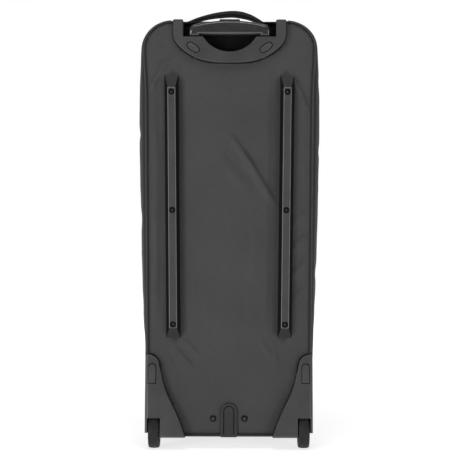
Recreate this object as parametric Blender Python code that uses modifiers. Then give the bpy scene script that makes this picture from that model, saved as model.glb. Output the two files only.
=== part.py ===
"""Wheeled gear bag: a hollow cloth tub with a zipped lid, skid rails, wheel corners and a telescopic handle.

Metres, +Z up. The origin is on the floor below the middle of the bag. The carried back faces -Y, and the
left and right of the names are those of someone who looks at that back.
"""

import math

import bmesh
import bpy
from mathutils import Vector

# Clearances
GAP = 0.0003  # between pieces that touch
RUN_GAP = 0.0006  # between a tube and its guide
SEAM_GAP = 0.0005  # between the piping and the cloth
WHEEL_GAP = 0.0016  # between a wheel and its housing

# Cloth body
BODY_BOTTOM = 0.0245
BODY_TOP = 0.882
BODY_HALF_WIDTH = 0.191
BODY_DEPTH = 0.280
BODY_CORNER = 0.057
SEAM_DROP = 0.008  # top of the side cloth over the back seam
SEAM_RISE = 0.004  # back seam over the lowest cloth
CLOTH = 0.0025
BULGE_POWER = 2.6
LID_CROWN = 0.010
PIPING_RADIUS = 0.0019

PIPING_OUT, PIPING_BACK = 0.6, 0.8  # direction from the seam to the piping's middle

# Zip, with its middle as a share of the depth
ZIP_DEPTH = 0.80
ZIP_WIDTH = 0.009
ZIP_THICKNESS = 0.0024
SLIDER_LENGTH, SLIDER_WIDTH, SLIDER_HEIGHT = 0.013, 0.010, 0.005
PULL_LENGTH, PULL_WIDTH, PULL_THICKNESS = 0.030, 0.007, 0.0022
SLIDER_SPREAD = 0.010  # half the distance between the two sliders

# Handle plate
PLATE_HALF_WIDTH = 0.1157
PLATE_TOP = 0.878
PLATE_SIDE_LOW = 0.836
PLATE_LOW = 0.7893
PLATE_CURVE = 3.0
PLATE_PROUD = 0.014
PLATE_WALL = 0.004
PLATE_ROUND = 0.003
EAR_WIDTH = 0.021
SEAT_TOP = 0.8433
BOWL_RADIUS = 0.0625
BOWL_LOW = 0.8126
CAP_LENGTH, CAP_WIDTH, CAP_TILT = 0.0297, 0.0154, math.radians(35)
CAP_X, CAP_Z = 0.0744, 0.8204
CAP_RECESS = 0.0025
CAP_RIM = 0.0008

# Telescopic handle
GRIP_HALF_WIDTH = 0.0832
GRIP_TOP, GRIP_CROWN = 0.8688, 0.0086
GRIP_UNDERSIDE = 0.8470
GRIP_REAR, GRIP_DEPTH = 0.008, 0.031
GRIP_CORNER = 0.012
GRIP_ROUND = 0.005
LEG_WIDTH = 0.022
TUBE_RADIUS, TUBE_LENGTH, TUBE_IN_GRIP = 0.0055, 0.420, 0.014
TUBE_BEHIND = 0.015  # tube axis behind the back panel
GUIDE_WALL, GUIDE_LENGTH = 0.0012, 0.740
BUTTON_HALF_LENGTH, BUTTON_WIDTH, BUTTON_PROUD = 0.021, 0.014, 0.0032
BUTTON_BODY, BUTTON_TRAVEL = 0.011, 0.003

# Skid rails, each leaning in towards the bottom
RAIL_LOW, RAIL_TOP = 0.2269, 0.7667
RAIL_X_TOP, RAIL_X_LOW = 0.1189, 0.1137
RAIL_BASE_WIDTH, RAIL_FLAT_WIDTH, RAIL_HEIGHT = 0.030, 0.016, 0.015
RAIL_RAMP_TOP, RAIL_RAMP_LOW = 0.0285, 0.0216
RAIL_ROUND = 0.0015
SCREW_HEIGHTS = {"top": 0.730, "middle": 0.489, "bottom": 0.2556}
SCREW_RECESS_RADIUS, SCREW_RECESS_DEPTH = 0.00645, 0.004
SCREW_HEAD_RADIUS, SCREW_HEAD_HEIGHT = 0.0050, 0.0026
SCREW_SHANK_RADIUS = 0.002

# Wheels and their housings
WHEEL_RADIUS, WHEEL_WIDTH = 0.038, 0.0230
WHEEL_BEHIND, WHEEL_INSET = 0.012, 0.0182  # middle behind the back panel, and in from the corner's side
HUB_RADIUS, HUB_WIDTH = 0.0245, 0.0200
HUB_RIM, HUB_BOSS, HUB_DISH = 0.003, 0.007, 0.004
AXLE_RADIUS = 0.003
HOUSING_SPAN, HOUSING_WIDTH = 0.8975, 0.0825  # outer side as a share of the body's half width; width
HOUSING_LOW, HOUSING_TOP = 0.0255, 0.195
HOUSING_PROUD_LOW, HOUSING_PROUD_TOP = 0.0255, 0.009
HOUSING_WRAP = 0.014  # housing behind the back panel's plane, above the wheel
HOUSING_ROUND = 0.003
HOUSING_TOP_LENGTH = 0.0248
WELL_WIDTH = 0.0413
WELL_DEPTH, WELL_TOP, WELL_SHOULDER = 0.064, 0.135, 0.062
WELL_STEP = 0.0004  # the well's faces behind the housing's
WHEEL_OPENING_TOP = 0.0655
OUTER_CHEEK_LOW, OUTER_CHEEK_FRONT = 0.0308, 0.0362  # below the axle, and at the rear face
FORK_LOW = 0.0275
FORK_REACH, FORK_TIP = 0.60, 0.16  # half widths of the fork's root and tip, as shares of the wheel's radius
PAD_LOW, PAD_TOP, PAD_WIDTH, PAD_INSET = 0.1349, 0.1765, 0.0175, 0.0146
PAD_RECESS, PAD_RIM = 0.0025, 0.0008

# Tab at the bottom of the back
TAB_WIDTH, TAB_TOP, TAB_LOW = 0.0336, 0.094, 0.0241
TAB_THICKNESS, TAB_GROOVE_WIDTH, TAB_GROOVE_DEPTH = 0.0050, 0.0225, 0.0015
TAB_GROOVE_LOW = 0.034
RIVET_X, RIVET_Z, RIVET_RADIUS, RIVET_HEIGHT = 0.0322, 0.062, 0.0065, 0.0038

# Feet and carry strap
FOOT_LENGTH, FOOT_DEPTH, FOOT_ROUND = 0.060, 0.036, 0.004
FOOT_IN = 0.073  # of the foot's middle from the body's half width
FOOT_INSET = 0.004  # foot behind the zip
STRAP_WIDTH, STRAP_DEPTH_SHARE = 0.034, 0.50
STRAP_LEFT, STRAP_RIGHT, STRAP_RISE = -0.132, 0.118, 0.038
STRAP_THIN, STRAP_THICK = 0.0045, 0.0130

# Body sections: height share, half width of the seam and of the widest cloth as shares of BODY_HALF_WIDTH
SECTIONS = (
    (0.00, 0.860, 0.890),
    (0.10, 0.861, 0.900),
    (0.23, 0.869, 0.935),
    (0.47, 0.877, 0.974),
    (0.62, 0.882, 0.990),
    (0.75, 0.886, 1.000),
    (0.84, 0.892, 0.995),
    (0.91, 0.911, 0.979),
    (1.00, 0.916, 0.963),
)
# Folds of the back panel: both ends as shares of the half width and of the height, width and depth as
# shares of the half width. A negative depth stands out.
BACK_FOLDS = (
    (0.00, 0.34, 0.00, 0.80, 0.48, -0.018),
    (0.06, 0.735, 0.40, 0.585, 0.15, 0.026),
    (-0.36, 0.86, -0.10, 0.78, 0.14, 0.014),
    (0.40, 0.84, 0.20, 0.77, 0.14, 0.012),
    (-0.34, 0.20, -0.12, 0.28, 0.15, 0.016),
    (0.14, 0.16, 0.34, 0.24, 0.14, 0.012),
    (-0.78, 0.30, -0.78, 0.84, 0.09, 0.012),
    (0.78, 0.30, 0.78, 0.84, 0.09, 0.012),
)
# Sags of the side cloth: side (-1 left, 1 right, 0 both), height share, half length share, share of the bulge
SIDE_SAGS = (
    (0, 0.93, 0.030, 0.16),
    (1, 0.86, 0.025, 0.14),
    (-1, 0.84, 0.030, 0.12),
    (1, 0.60, 0.035, 0.16),
    (-1, 0.55, 0.040, 0.14),
    (0, 0.40, 0.035, 0.16),
    (1, 0.30, 0.030, 0.14),
    (-1, 0.27, 0.030, 0.12),
)
# Depths of the cloth rings: shares of the tub's depth from the back seam, and of the lid's from the zip
TUB_RINGS = (0.0, 0.064, 0.192, 0.422, 0.715, 1.0)
LID_RINGS = (0.0, 0.453, 0.836, 1.0)
# Inner edge of a housing: height share, width share
HOUSING_EDGE = (
    (0.00, 1.000),
    (0.19, 0.862),
    (0.35, 0.717),
    (0.47, 0.592),
    (0.592, 0.489),
    (0.736, 0.412),
    (0.867, 0.359),
)
# Tread from the tyre's side to its middle: share of the wheel's radius, share of its half width
TREAD = ((0.93, 0.92), (0.985, 0.55), (1.0, 0.0))
# Domes of the rivets and screw heads: share of the radius, share of the height
DOME = ((0.0, 1.0), (0.45, 0.90), (0.80, 0.60), (1.0, 0.20))
# Carry strap: share of the span, share of the rise, share of the full padding
STRAP_SECTIONS = (
    (0.000, 0.00, 0.0),
    (0.080, 0.00, 0.0),
    (0.125, 0.12, 0.0),
    (0.185, 0.32, 0.1),
    (0.250, 0.52, 0.2),
    (0.340, 0.73, 0.4),
    (0.450, 0.92, 0.8),
    (0.560, 1.00, 1.0),
    (0.640, 0.93, 1.0),
    (0.705, 0.77, 0.8),
    (0.765, 0.52, 0.4),
    (0.825, 0.22, 0.1),
    (0.875, 0.00, 0.0),
    (1.000, 0.00, 0.0),
)

# Upper outline of a cut through the strap: share of its width from the middle, share of its thickness down
STRAP_EDGE = ((-0.50, 0.22), (-0.44, 0.0), (0.44, 0.0), (0.50, 0.22))

# Mesh counts
CELLS_ACROSS, CELLS_UP, CORNER_CELLS = 12, 26, 2
CORNER_STEPS = 3  # of the grip's round corners
ROUND_STEPS = 24
TUBE_STEPS = 12
SCREW_STEPS = 8

# Places that follow from the sizes. The deepest point at the back is the wheels', and at the front the lid's.
WHEEL_PROUD = WHEEL_RADIUS - WHEEL_BEHIND
BACK_Y = (WHEEL_PROUD - BODY_DEPTH - LID_CROWN) / 2
BODY_HEIGHT = BODY_TOP - BODY_BOTTOM
HOUSING_OUTER = BODY_HALF_WIDTH * HOUSING_SPAN
HOUSING_INNER = HOUSING_OUTER - HOUSING_WIDTH
WELL_INNER = HOUSING_OUTER - WELL_WIDTH
WHEEL_X = HOUSING_OUTER - WHEEL_INSET
PAD_X = HOUSING_OUTER - PAD_INSET
FOOT_X = BODY_HALF_WIDTH - FOOT_IN
PLATE_INNER = GRIP_DEPTH - GRIP_REAR + RUN_GAP + PLATE_WALL
SEAT_HALF_WIDTH = PLATE_HALF_WIDTH - EAR_WIDTH
TUBE_X = GRIP_HALF_WIDTH - LEG_WIDTH / 2
GUIDE_BORE = TUBE_RADIUS + RUN_GAP
GUIDE_RADIUS = GUIDE_BORE + GUIDE_WALL
SLOT_HALF_WIDTH = WHEEL_WIDTH / 2 + WHEEL_GAP
HOUSING_TILT = math.atan2(HOUSING_PROUD_LOW - HOUSING_PROUD_TOP, HOUSING_TOP - HOUSING_LOW)
SIDES = {"left": -1, "right": 1}

PARTS = "wheeled_gear_bag"
CUTTERS = "cutters"

# Materials: base colour, roughness, metallic
FINISHES = {
    "cloth": ((0.050, 0.051, 0.054, 1.0), 0.90, 0.0),
    "lid_cloth": ((0.046, 0.047, 0.050, 1.0), 0.90, 0.0),
    "piping": ((0.062, 0.063, 0.066, 1.0), 0.70, 0.0),
    "zip_tape": ((0.012, 0.012, 0.013, 1.0), 0.75, 0.0),
    "zip_metal": ((0.030, 0.030, 0.032, 1.0), 0.40, 0.8),
    "moulded_plastic": ((0.070, 0.071, 0.074, 1.0), 0.45, 0.0),
    "rail_plastic": ((0.085, 0.086, 0.090, 1.0), 0.50, 0.0),
    "tube_metal": ((0.350, 0.350, 0.360, 1.0), 0.30, 1.0),
    "screw_metal": ((0.110, 0.110, 0.115, 1.0), 0.40, 0.8),
    "tyre": ((0.045, 0.046, 0.048, 1.0), 0.60, 0.0),
    "hub": ((0.085, 0.086, 0.090, 1.0), 0.45, 0.0),
    "strap": ((0.006, 0.006, 0.007, 1.0), 0.85, 0.0),
}


def clear_scene():
    for obj in list(bpy.data.objects):
        bpy.data.objects.remove(obj, do_unlink=True)
    for name in (PARTS, CUTTERS):
        collection = bpy.data.collections.new(name)
        bpy.context.scene.collection.children.link(collection)


def finish_material(name):
    """The named material, made the first time it is asked for."""
    material = bpy.data.materials.get(name)
    if material is None:
        colour, roughness, metallic = FINISHES[name]
        material = bpy.data.materials.new(name)
        material.use_nodes = True
        shader = material.node_tree.nodes["Principled BSDF"]
        shader.inputs["Base Color"].default_value = colour
        shader.inputs["Roughness"].default_value = roughness
        shader.inputs["Metallic"].default_value = metallic
    return material


def place(name, mesh, finish=None):
    """A new object of the mesh: a part with a finish, or a cutter without one."""
    obj = bpy.data.objects.new(name, mesh)
    if finish:
        bpy.data.collections[PARTS].objects.link(obj)
        mesh.materials.append(finish_material(finish))
        mesh.shade_smooth()
        mesh.set_sharp_from_angle(angle=math.radians(32))
    else:
        bpy.data.collections[CUTTERS].objects.link(obj)
        obj.hide_render = True
        obj.display_type = "WIRE"
    return obj


def mesh_of_bmesh(name, bm):
    mesh = bpy.data.meshes.new(name)
    bm.to_mesh(mesh)
    bm.free()
    return mesh


def mesh_of_curve(name, curve):
    """A mesh of the curve with its caps welded on."""
    guide = bpy.data.objects.new(name, curve)
    bpy.context.scene.collection.objects.link(guide)
    graph = bpy.context.evaluated_depsgraph_get()
    mesh = bpy.data.meshes.new_from_object(guide.evaluated_get(graph))
    bpy.data.objects.remove(guide, do_unlink=True)
    bpy.data.curves.remove(curve)
    bm = bmesh.new()
    bm.from_mesh(mesh)
    bmesh.ops.remove_doubles(bm, verts=bm.verts, dist=0.00001)
    bmesh.ops.dissolve_limit(
        bm, angle_limit=math.radians(0.5), verts=bm.verts, edges=bm.edges, delimit={"NORMAL"}
    )
    bmesh.ops.recalc_face_normals(bm, faces=bm.faces)
    bpy.data.meshes.remove(mesh)
    return mesh_of_bmesh(name, bm)


def outline_solid(name, outline, low, high, finish=None, plane="XZ"):
    """A flat outline made thick from low to high along the axis that the plane leaves out."""
    curve = bpy.data.curves.new(name, "CURVE")
    curve.dimensions = "2D"
    curve.fill_mode = "BOTH"
    curve.extrude = (high - low) / 2
    spline = curve.splines.new("POLY")
    spline.points.add(len(outline) - 1)
    for point, (across, up) in zip(spline.points, outline):
        point.co = (across, up, 0.0, 1.0)
    spline.use_cyclic_u = True
    obj = place(name, mesh_of_curve(name, curve), finish)
    middle = (low + high) / 2
    if plane == "XZ":
        obj.location, obj.rotation_euler = (0.0, middle, 0.0), (math.pi / 2, 0.0, 0.0)
    elif plane == "YZ":
        obj.location, obj.rotation_euler = (middle, 0.0, 0.0), (math.pi / 2, 0.0, math.pi / 2)
    return obj


def tube_along(name, points, radius, finish):
    """A round cord along the points."""
    curve = bpy.data.curves.new(name, "CURVE")
    curve.dimensions = "3D"
    curve.bevel_depth = radius
    curve.bevel_resolution = 1
    curve.use_fill_caps = True
    spline = curve.splines.new("POLY")
    spline.points.add(len(points) - 1)
    for point, position in zip(spline.points, points):
        point.co = (*position, 1.0)
    return place(name, mesh_of_curve(name, curve), finish)


def box(name, low, high, finish=None):
    """A box between its lowest and highest corners, with its origin at its middle."""
    low, high = Vector(low), Vector(high)
    bm = bmesh.new()
    bmesh.ops.create_cube(bm, size=1.0)
    bmesh.ops.scale(bm, vec=high - low, verts=bm.verts)
    obj = place(name, mesh_of_bmesh(name, bm), finish)
    obj.location = (low + high) / 2
    return obj


def rod(name, radius, centre, length, axis, finish=None, steps=ROUND_STEPS):
    """A cylinder of this length about its centre, along X, Y or Z."""
    bm = bmesh.new()
    bmesh.ops.create_cone(
        bm, cap_ends=True, segments=steps, radius1=radius, radius2=radius, depth=length
    )
    obj = place(name, mesh_of_bmesh(name, bm), finish)
    obj.location = centre
    turns = {"X": (0.0, math.pi / 2, 0.0), "Y": (math.pi / 2, 0.0, 0.0), "Z": (0.0, 0.0, 0.0)}
    obj.rotation_euler = turns[axis]
    return obj


def turned(name, profile, finish, steps=ROUND_STEPS):
    """A turned shape: the (radius, height) profile, top to bottom, about the object's own Z axis."""
    mesh = bpy.data.meshes.new(name)
    points = [(radius, 0.0, height) for radius, height in profile]
    mesh.from_pydata(points, [(i, i + 1) for i in range(len(points) - 1)], [])
    obj = place(name, mesh, finish)
    screw = obj.modifiers.new("Turn", "SCREW")
    screw.steps = screw.render_steps = steps
    screw.use_merge_vertices = True
    screw.merge_threshold = 0.00001
    return obj


def dome_profile(radius, height):
    """Profile of a round head from its top down to its foot."""
    return [*((radius * across, height * up) for across, up in DOME), (radius, 0.0)]


def cut(obj, cutter, operation="DIFFERENCE"):
    modifier = obj.modifiers.new(cutter.name, "BOOLEAN")
    modifier.operation = operation
    modifier.solver = "MANIFOLD"
    modifier.object = cutter


def round_edges(obj, width, segments=2, angle=40):
    bevel = obj.modifiers.new("Round", "BEVEL")
    bevel.width = width
    bevel.segments = segments
    bevel.limit_method = "ANGLE"
    bevel.angle_limit = math.radians(angle)


def curve_value(rows, share, column):
    """A smooth value of the table's column at this share of its first column."""
    last = len(rows) - 2
    index = next((i for i in range(last) if share < rows[i + 1][0]), last)
    around = [rows[max(0, min(len(rows) - 1, index + step))] for step in (-1, 0, 1, 2)]
    (x0, y0), (x1, y1), (x2, y2), (x3, y3) = [(row[0], row[column]) for row in around]
    slope_1 = (y2 - y0) / (x2 - x0)
    slope_2 = (y3 - y1) / (x3 - x1)
    t = (share - x1) / (x2 - x1)
    step = x2 - x1
    return (
        (2 * t**3 - 3 * t**2 + 1) * y1
        + (t**3 - 2 * t**2 + t) * step * slope_1
        + (3 * t**2 - 2 * t**3) * y2
        + (t**3 - t**2) * step * slope_2
    )


def bulge_at(depth):
    """How far the side cloth has left the seam at this share of the depth: 0 at a seam, 1 at the widest."""
    return (1 - abs(2 * depth - 1) ** BULGE_POWER) ** (1 / BULGE_POWER)


def half_width(height, bulge, side=0):
    """Half width of the cloth at this height, for a bulge of 0 at the seam to 1 at the widest."""
    share = (height - BODY_BOTTOM) / BODY_HEIGHT
    seam = curve_value(SECTIONS, share, 1) * BODY_HALF_WIDTH
    widest = curve_value(SECTIONS, share, 2) * BODY_HALF_WIDTH
    sag = 0.0
    for sag_side, centre, length, depth in SIDE_SAGS:
        reach = min(1.0, abs(share - centre) / length)
        if sag_side in (0, side):
            sag += depth * (1 - reach**2) ** 2
    return seam + (widest - seam) * bulge * (1 - sag)


def ring_levels(bulge):
    """Lowest and highest line of the cloth ring with this bulge."""
    low = BODY_BOTTOM + SEAM_RISE * (1 - bulge)
    high = BODY_TOP - SEAM_DROP * (1 - bulge)
    return low, high


def corner_point(side, end, angle, bulge):
    """A point of a round corner: angle 0 is where it meets the side, a right angle where it meets the end."""
    low, high = ring_levels(bulge)
    inset = BODY_CORNER * (1 - math.cos(angle))
    drop = BODY_CORNER * (1 - math.sin(angle))
    height = high - drop if end > 0 else low + drop
    return Vector((side * (half_width(height, bulge, side) - inset), height))


def cloth_edges(bulge):
    """Bottom, right, top and left edge of the ring with this bulge, each from corner to corner.

    The bottom and top edges run towards +X and the side edges upwards. A corner's arc is split between
    the two edges that meet there.
    """
    low, high = ring_levels(bulge)
    quarter = math.pi / 2
    arc = [quarter / 2 * step / CORNER_CELLS for step in range(CORNER_CELLS + 1)]
    edges = {}
    for end in (-1, 1):
        left = [corner_point(-1, end, quarter / 2 + angle, bulge) for angle in arc]
        right = [corner_point(1, end, quarter - angle, bulge) for angle in arc]
        count = CELLS_ACROSS - 2 * CORNER_CELLS
        middle = [left[-1].lerp(right[0], step / count) for step in range(1, count)]
        edges["top" if end > 0 else "bottom"] = left + middle + right
    for side in (-1, 1):
        lower = [corner_point(side, -1, quarter / 2 - angle, bulge) for angle in arc]
        upper = [corner_point(side, 1, angle, bulge) for angle in arc]
        count = CELLS_UP - 2 * CORNER_CELLS
        middle = []
        for step in range(1, count):
            height = low + BODY_CORNER + (high - low - 2 * BODY_CORNER) * step / count
            middle.append(Vector((side * half_width(height, bulge, side), height)))
        edges["right" if side > 0 else "left"] = lower + middle + upper
    return edges


def cloth_loop(bulge):
    """The ring's points in order: along the bottom, up the right, back along the top, down the left."""
    edges = cloth_edges(bulge)
    return edges["bottom"][:-1] + edges["right"][:-1] + edges["top"][:0:-1] + edges["left"][:0:-1]


def back_fold_depth(point):
    """How far the back panel is pushed in at this point."""
    depth = 0.0
    for x1, z1, x2, z2, width, amount in BACK_FOLDS:
        start = Vector((x1 * BODY_HALF_WIDTH, BODY_BOTTOM + z1 * BODY_HEIGHT))
        end = Vector((x2 * BODY_HALF_WIDTH, BODY_BOTTOM + z2 * BODY_HEIGHT))
        along = end - start
        share = max(0.0, min(1.0, (point - start).dot(along) / along.length_squared))
        reach = (point - start - along * share).length / (width * BODY_HALF_WIDTH)
        depth += amount * BODY_HALF_WIDTH * (1 - min(1.0, reach) ** 2) ** 2
    return depth


def panel_point(edges, across, up):
    """The point of the panel inside the four edges, with across and up counted in cells."""
    u, v = across / CELLS_ACROSS, up / CELLS_UP
    bottom, top, left, right = edges["bottom"], edges["top"], edges["left"], edges["right"]
    ruled = bottom[across] * (1 - v) + top[across] * v + left[up] * (1 - u) + right[up] * u
    corners = (bottom[0] * (1 - u) + bottom[-1] * u) * (1 - v) + (top[0] * (1 - u) + top[-1] * u) * v
    return ruled - corners


def add_ring(bm, depth):
    """Vertices of the cloth ring at this share of the depth."""
    y = BACK_Y + depth * BODY_DEPTH
    return [bm.verts.new((point.x, y, point.y)) for point in cloth_loop(bulge_at(depth))]


def join_rings(bm, rings):
    """Faces between rings that run from the back to the front, facing out."""
    for ring, following in zip(rings, rings[1:]):
        for i in range(len(ring)):
            j = (i + 1) % len(ring)
            bm.faces.new((ring[i], following[i], following[j], ring[j]))


def add_panel(bm, ring, edges, depth_of, faces_back):
    """The panel that closes a ring, with its inner points moved along Y by depth_of."""
    rim = {}
    for i in range(CELLS_ACROSS):
        rim[i, 0] = ring[i]
        rim[CELLS_ACROSS - i, CELLS_UP] = ring[CELLS_ACROSS + CELLS_UP + i]
    for j in range(CELLS_UP):
        rim[CELLS_ACROSS, j] = ring[CELLS_ACROSS + j]
        rim[0, CELLS_UP - j] = ring[2 * CELLS_ACROSS + CELLS_UP + j]
    y = ring[0].co.y
    grid = dict(rim)
    for i in range(1, CELLS_ACROSS):
        for j in range(1, CELLS_UP):
            point = panel_point(edges, i, j)
            grid[i, j] = bm.verts.new((point.x, y + depth_of(point), point.y))
    for i in range(CELLS_ACROSS):
        for j in range(CELLS_UP):
            face = [grid[i, j], grid[i + 1, j], grid[i + 1, j + 1], grid[i, j + 1]]
            bm.faces.new(face if faces_back else face[::-1])


def add_cloth(obj, thickness=CLOTH):
    wall = obj.modifiers.new("Wall", "SOLIDIFY")
    wall.thickness = thickness
    wall.offset = -1.0
    wall.use_even_offset = True


def zip_edge(side):
    """Depth share of the zip's edge: side -1 is its back edge, 1 its front edge."""
    return ZIP_DEPTH + side * ZIP_WIDTH / 2 / BODY_DEPTH


def build_bag_body():
    """The cloth tub: the back panel and the band round it, open at the zip."""
    bm = bmesh.new()
    mouth = zip_edge(-1) - GAP / BODY_DEPTH
    rings = [add_ring(bm, share * mouth) for share in TUB_RINGS]
    join_rings(bm, rings)
    add_panel(bm, rings[0], cloth_edges(0.0), back_fold_depth, True)
    body = place("bag_body", mesh_of_bmesh("bag_body", bm), "cloth")
    add_cloth(body)
    return body


def lid_crown(point):
    """How far the lid's front stands out at this point."""
    share = (point.y - BODY_BOTTOM) / BODY_HEIGHT
    across = point.x / BODY_HALF_WIDTH
    return LID_CROWN * (1 - across**2) ** 0.5 * (1 - abs(2 * share - 1) ** 4)


def build_bag_lid():
    """The lid: a short band from the zip to the front seam, and the front panel."""
    bm = bmesh.new()
    edge = zip_edge(1) + GAP / BODY_DEPTH
    rings = [add_ring(bm, edge + share * (1 - edge)) for share in LID_RINGS]
    join_rings(bm, rings)
    add_panel(bm, rings[-1], cloth_edges(0.0), lid_crown, False)
    lid = place("bag_lid", mesh_of_bmesh("bag_lid", bm), "lid_cloth")
    add_cloth(lid)


def build_zip():
    """The zip's band, and its two sliders with their pulls at the middle of the top."""
    bm = bmesh.new()
    join_rings(bm, [add_ring(bm, zip_edge(side)) for side in (-1, 1)])
    band = place("lid_zip", mesh_of_bmesh("lid_zip", bm), "zip_tape")
    add_cloth(band, ZIP_THICKNESS)
    y = BACK_Y + ZIP_DEPTH * BODY_DEPTH
    top = ring_levels(bulge_at(zip_edge(-1)))[1] + GAP
    for name, side in SIDES.items():
        x = side * SLIDER_SPREAD
        slider = box(
            f"zip_slider_{name}",
            (x - SLIDER_LENGTH / 2, y - SLIDER_WIDTH / 2, top),
            (x + SLIDER_LENGTH / 2, y + SLIDER_WIDTH / 2, top + SLIDER_HEIGHT),
            "zip_metal",
        )
        round_edges(slider, SLIDER_HEIGHT / 4, 1)
        start = x + side * (SLIDER_LENGTH / 2 + GAP)
        ends = sorted((start, start + side * PULL_LENGTH))
        pull = box(
            f"zip_pull_{name}",
            (ends[0], y - PULL_WIDTH / 2, top),
            (ends[1], y + PULL_WIDTH / 2, top + PULL_THICKNESS),
            "zip_metal",
        )
        round_edges(pull, PULL_THICKNESS / 4, 1)


def seam_outward(point):
    """Direction out of the back seam at this point, in the back panel's plane."""
    low, high = ring_levels(0.0)
    centre_x = math.copysign(half_width(point.y, 0.0) - BODY_CORNER, point.x)
    centre = Vector((centre_x, max(low + BODY_CORNER, min(high - BODY_CORNER, point.y))))
    if abs(point.x) < abs(centre.x):
        centre.x = point.x
    return (point - centre).normalized()


def piping_point(point):
    """Middle of the piping beside this point of the back seam."""
    distance = PIPING_RADIUS + SEAM_GAP
    beside = point + seam_outward(point) * distance * PIPING_OUT
    return Vector((beside.x, BACK_Y - distance * PIPING_BACK, beside.y))


def build_piping():
    """The cord in the back seam, which stops at the handle plate, the housings and the tab."""
    edges = cloth_edges(0.0)
    inner = PLATE_HALF_WIDTH + PIPING_RADIUS
    start = HOUSING_TOP + PIPING_RADIUS
    low = ring_levels(0.0)[0]
    for name, side in SIDES.items():
        foot = Vector((side * half_width(start, 0.0), start))
        upright = [point for point in edges[name] if point.y > start + PIPING_RADIUS]
        inwards = edges["top"] if side < 0 else edges["top"][::-1]
        shoulder = [point for point in inwards[1:] if side * point.x > inner + PIPING_RADIUS]
        end = Vector((side * inner, shoulder[-1].y))
        points = [piping_point(point) for point in (foot, *upright, *shoulder, end)]
        tube_along(f"back_piping_{name}", points, PIPING_RADIUS, "piping")
        ends = (TAB_WIDTH / 2 + GAP, HOUSING_INNER - PIPING_RADIUS)
        bottom = [piping_point(Vector((side * x, low))) for x in ends]
        tube_along(f"bottom_piping_{name}", bottom, PIPING_RADIUS, "piping")


def plate_low_edge(grow):
    """The plate's low edge from the left to the right, which dips to the middle."""
    steps = 9
    points = []
    for step in range(-steps, steps + 1):
        share = step / steps
        up = PLATE_LOW + (PLATE_SIDE_LOW - PLATE_LOW) * abs(share) ** PLATE_CURVE
        points.append((share * (PLATE_HALF_WIDTH + grow), up - grow * (1 + abs(share))))
    return points


def plate_outline():
    """The plate from the back: the two ears, the grip's seat between them and the finger bowl in it."""
    steps = 12
    reach = math.acos((BOWL_LOW + BOWL_RADIUS - SEAT_TOP) / BOWL_RADIUS)
    bowl = []
    for step in range(steps + 1):
        turn = reach * (1 - 2 * step / steps)
        bowl.append(
            (BOWL_RADIUS * math.sin(turn), BOWL_LOW + BOWL_RADIUS * (1 - math.cos(turn)))
        )
    wide, seat = PLATE_HALF_WIDTH, SEAT_HALF_WIDTH
    right = [(wide, PLATE_TOP), (seat, PLATE_TOP), (seat, SEAT_TOP)]
    left = [(-seat, SEAT_TOP), (-seat, PLATE_TOP), (-wide, PLATE_TOP)]
    return [*plate_low_edge(0.0), *right, *bowl, *left]


def plate_sleeve_outline():
    """The opening in the cloth that the plate fills."""
    wide, top = PLATE_HALF_WIDTH + GAP, PLATE_TOP + PLATE_PROUD
    return [*plate_low_edge(GAP), (wide, top), (-wide, top)]


def oval(length, width, steps=16):
    turns = [2 * math.pi * step / steps for step in range(steps)]
    return [(math.cos(turn) * length / 2, math.sin(turn) * width / 2) for turn in turns]


def place_cap(obj, side, y):
    """Puts an oval at its place on the handle plate, its outer end the higher one."""
    obj.location = (side * CAP_X, y, CAP_Z)
    obj.rotation_euler = (math.pi / 2, -side * CAP_TILT, 0.0)


def build_handle_plate(body):
    """The plate with its ears and bowl, the wall in front of the grip, and the holes for the guides."""
    rear, inner = BACK_Y - PLATE_PROUD, BACK_Y + PLATE_INNER
    plate = outline_solid("handle_plate", plate_outline(), rear, inner, "moulded_plastic")
    round_edges(plate, PLATE_ROUND, 1)
    wall = box(
        "front_wall",
        (-SEAT_HALF_WIDTH - PLATE_WALL, inner - PLATE_WALL, BOWL_LOW - PLATE_WALL),
        (SEAT_HALF_WIDTH + PLATE_WALL, inner - GAP, GRIP_TOP),
    )
    cut(plate, wall, "UNION")
    for name, side in SIDES.items():
        recess = outline_solid(f"cap_cutter_{name}", oval(CAP_LENGTH, CAP_WIDTH), 0.0, 2 * CAP_RECESS)
        place_cap(recess, side, rear)
        cut(plate, recess)
        hole = rod(
            f"guide_cutter_{name}",
            GUIDE_RADIUS + GAP,
            (side * TUBE_X, BACK_Y + TUBE_BEHIND, (PLATE_LOW + SEAT_TOP) / 2),
            SEAT_TOP - PLATE_LOW + PLATE_WALL,
            "Z",
            steps=TUBE_STEPS,
        )
        cut(plate, hole)
        build_plate_cap(name, side, rear)
    behind = rear - PLATE_PROUD
    cut(body, outline_solid("plate_sleeve", plate_sleeve_outline(), behind, inner + GAP))


def build_plate_cap(name, side, rear):
    length, width = CAP_LENGTH - 2 * CAP_RIM, CAP_WIDTH - 2 * CAP_RIM
    cap = outline_solid(f"plate_cap_{name}", oval(length, width), 0.0, CAP_RECESS, "moulded_plastic")
    place_cap(cap, side, rear + CAP_RECESS / 2 - GAP)
    round_edges(cap, CAP_RIM, 1)


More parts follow.
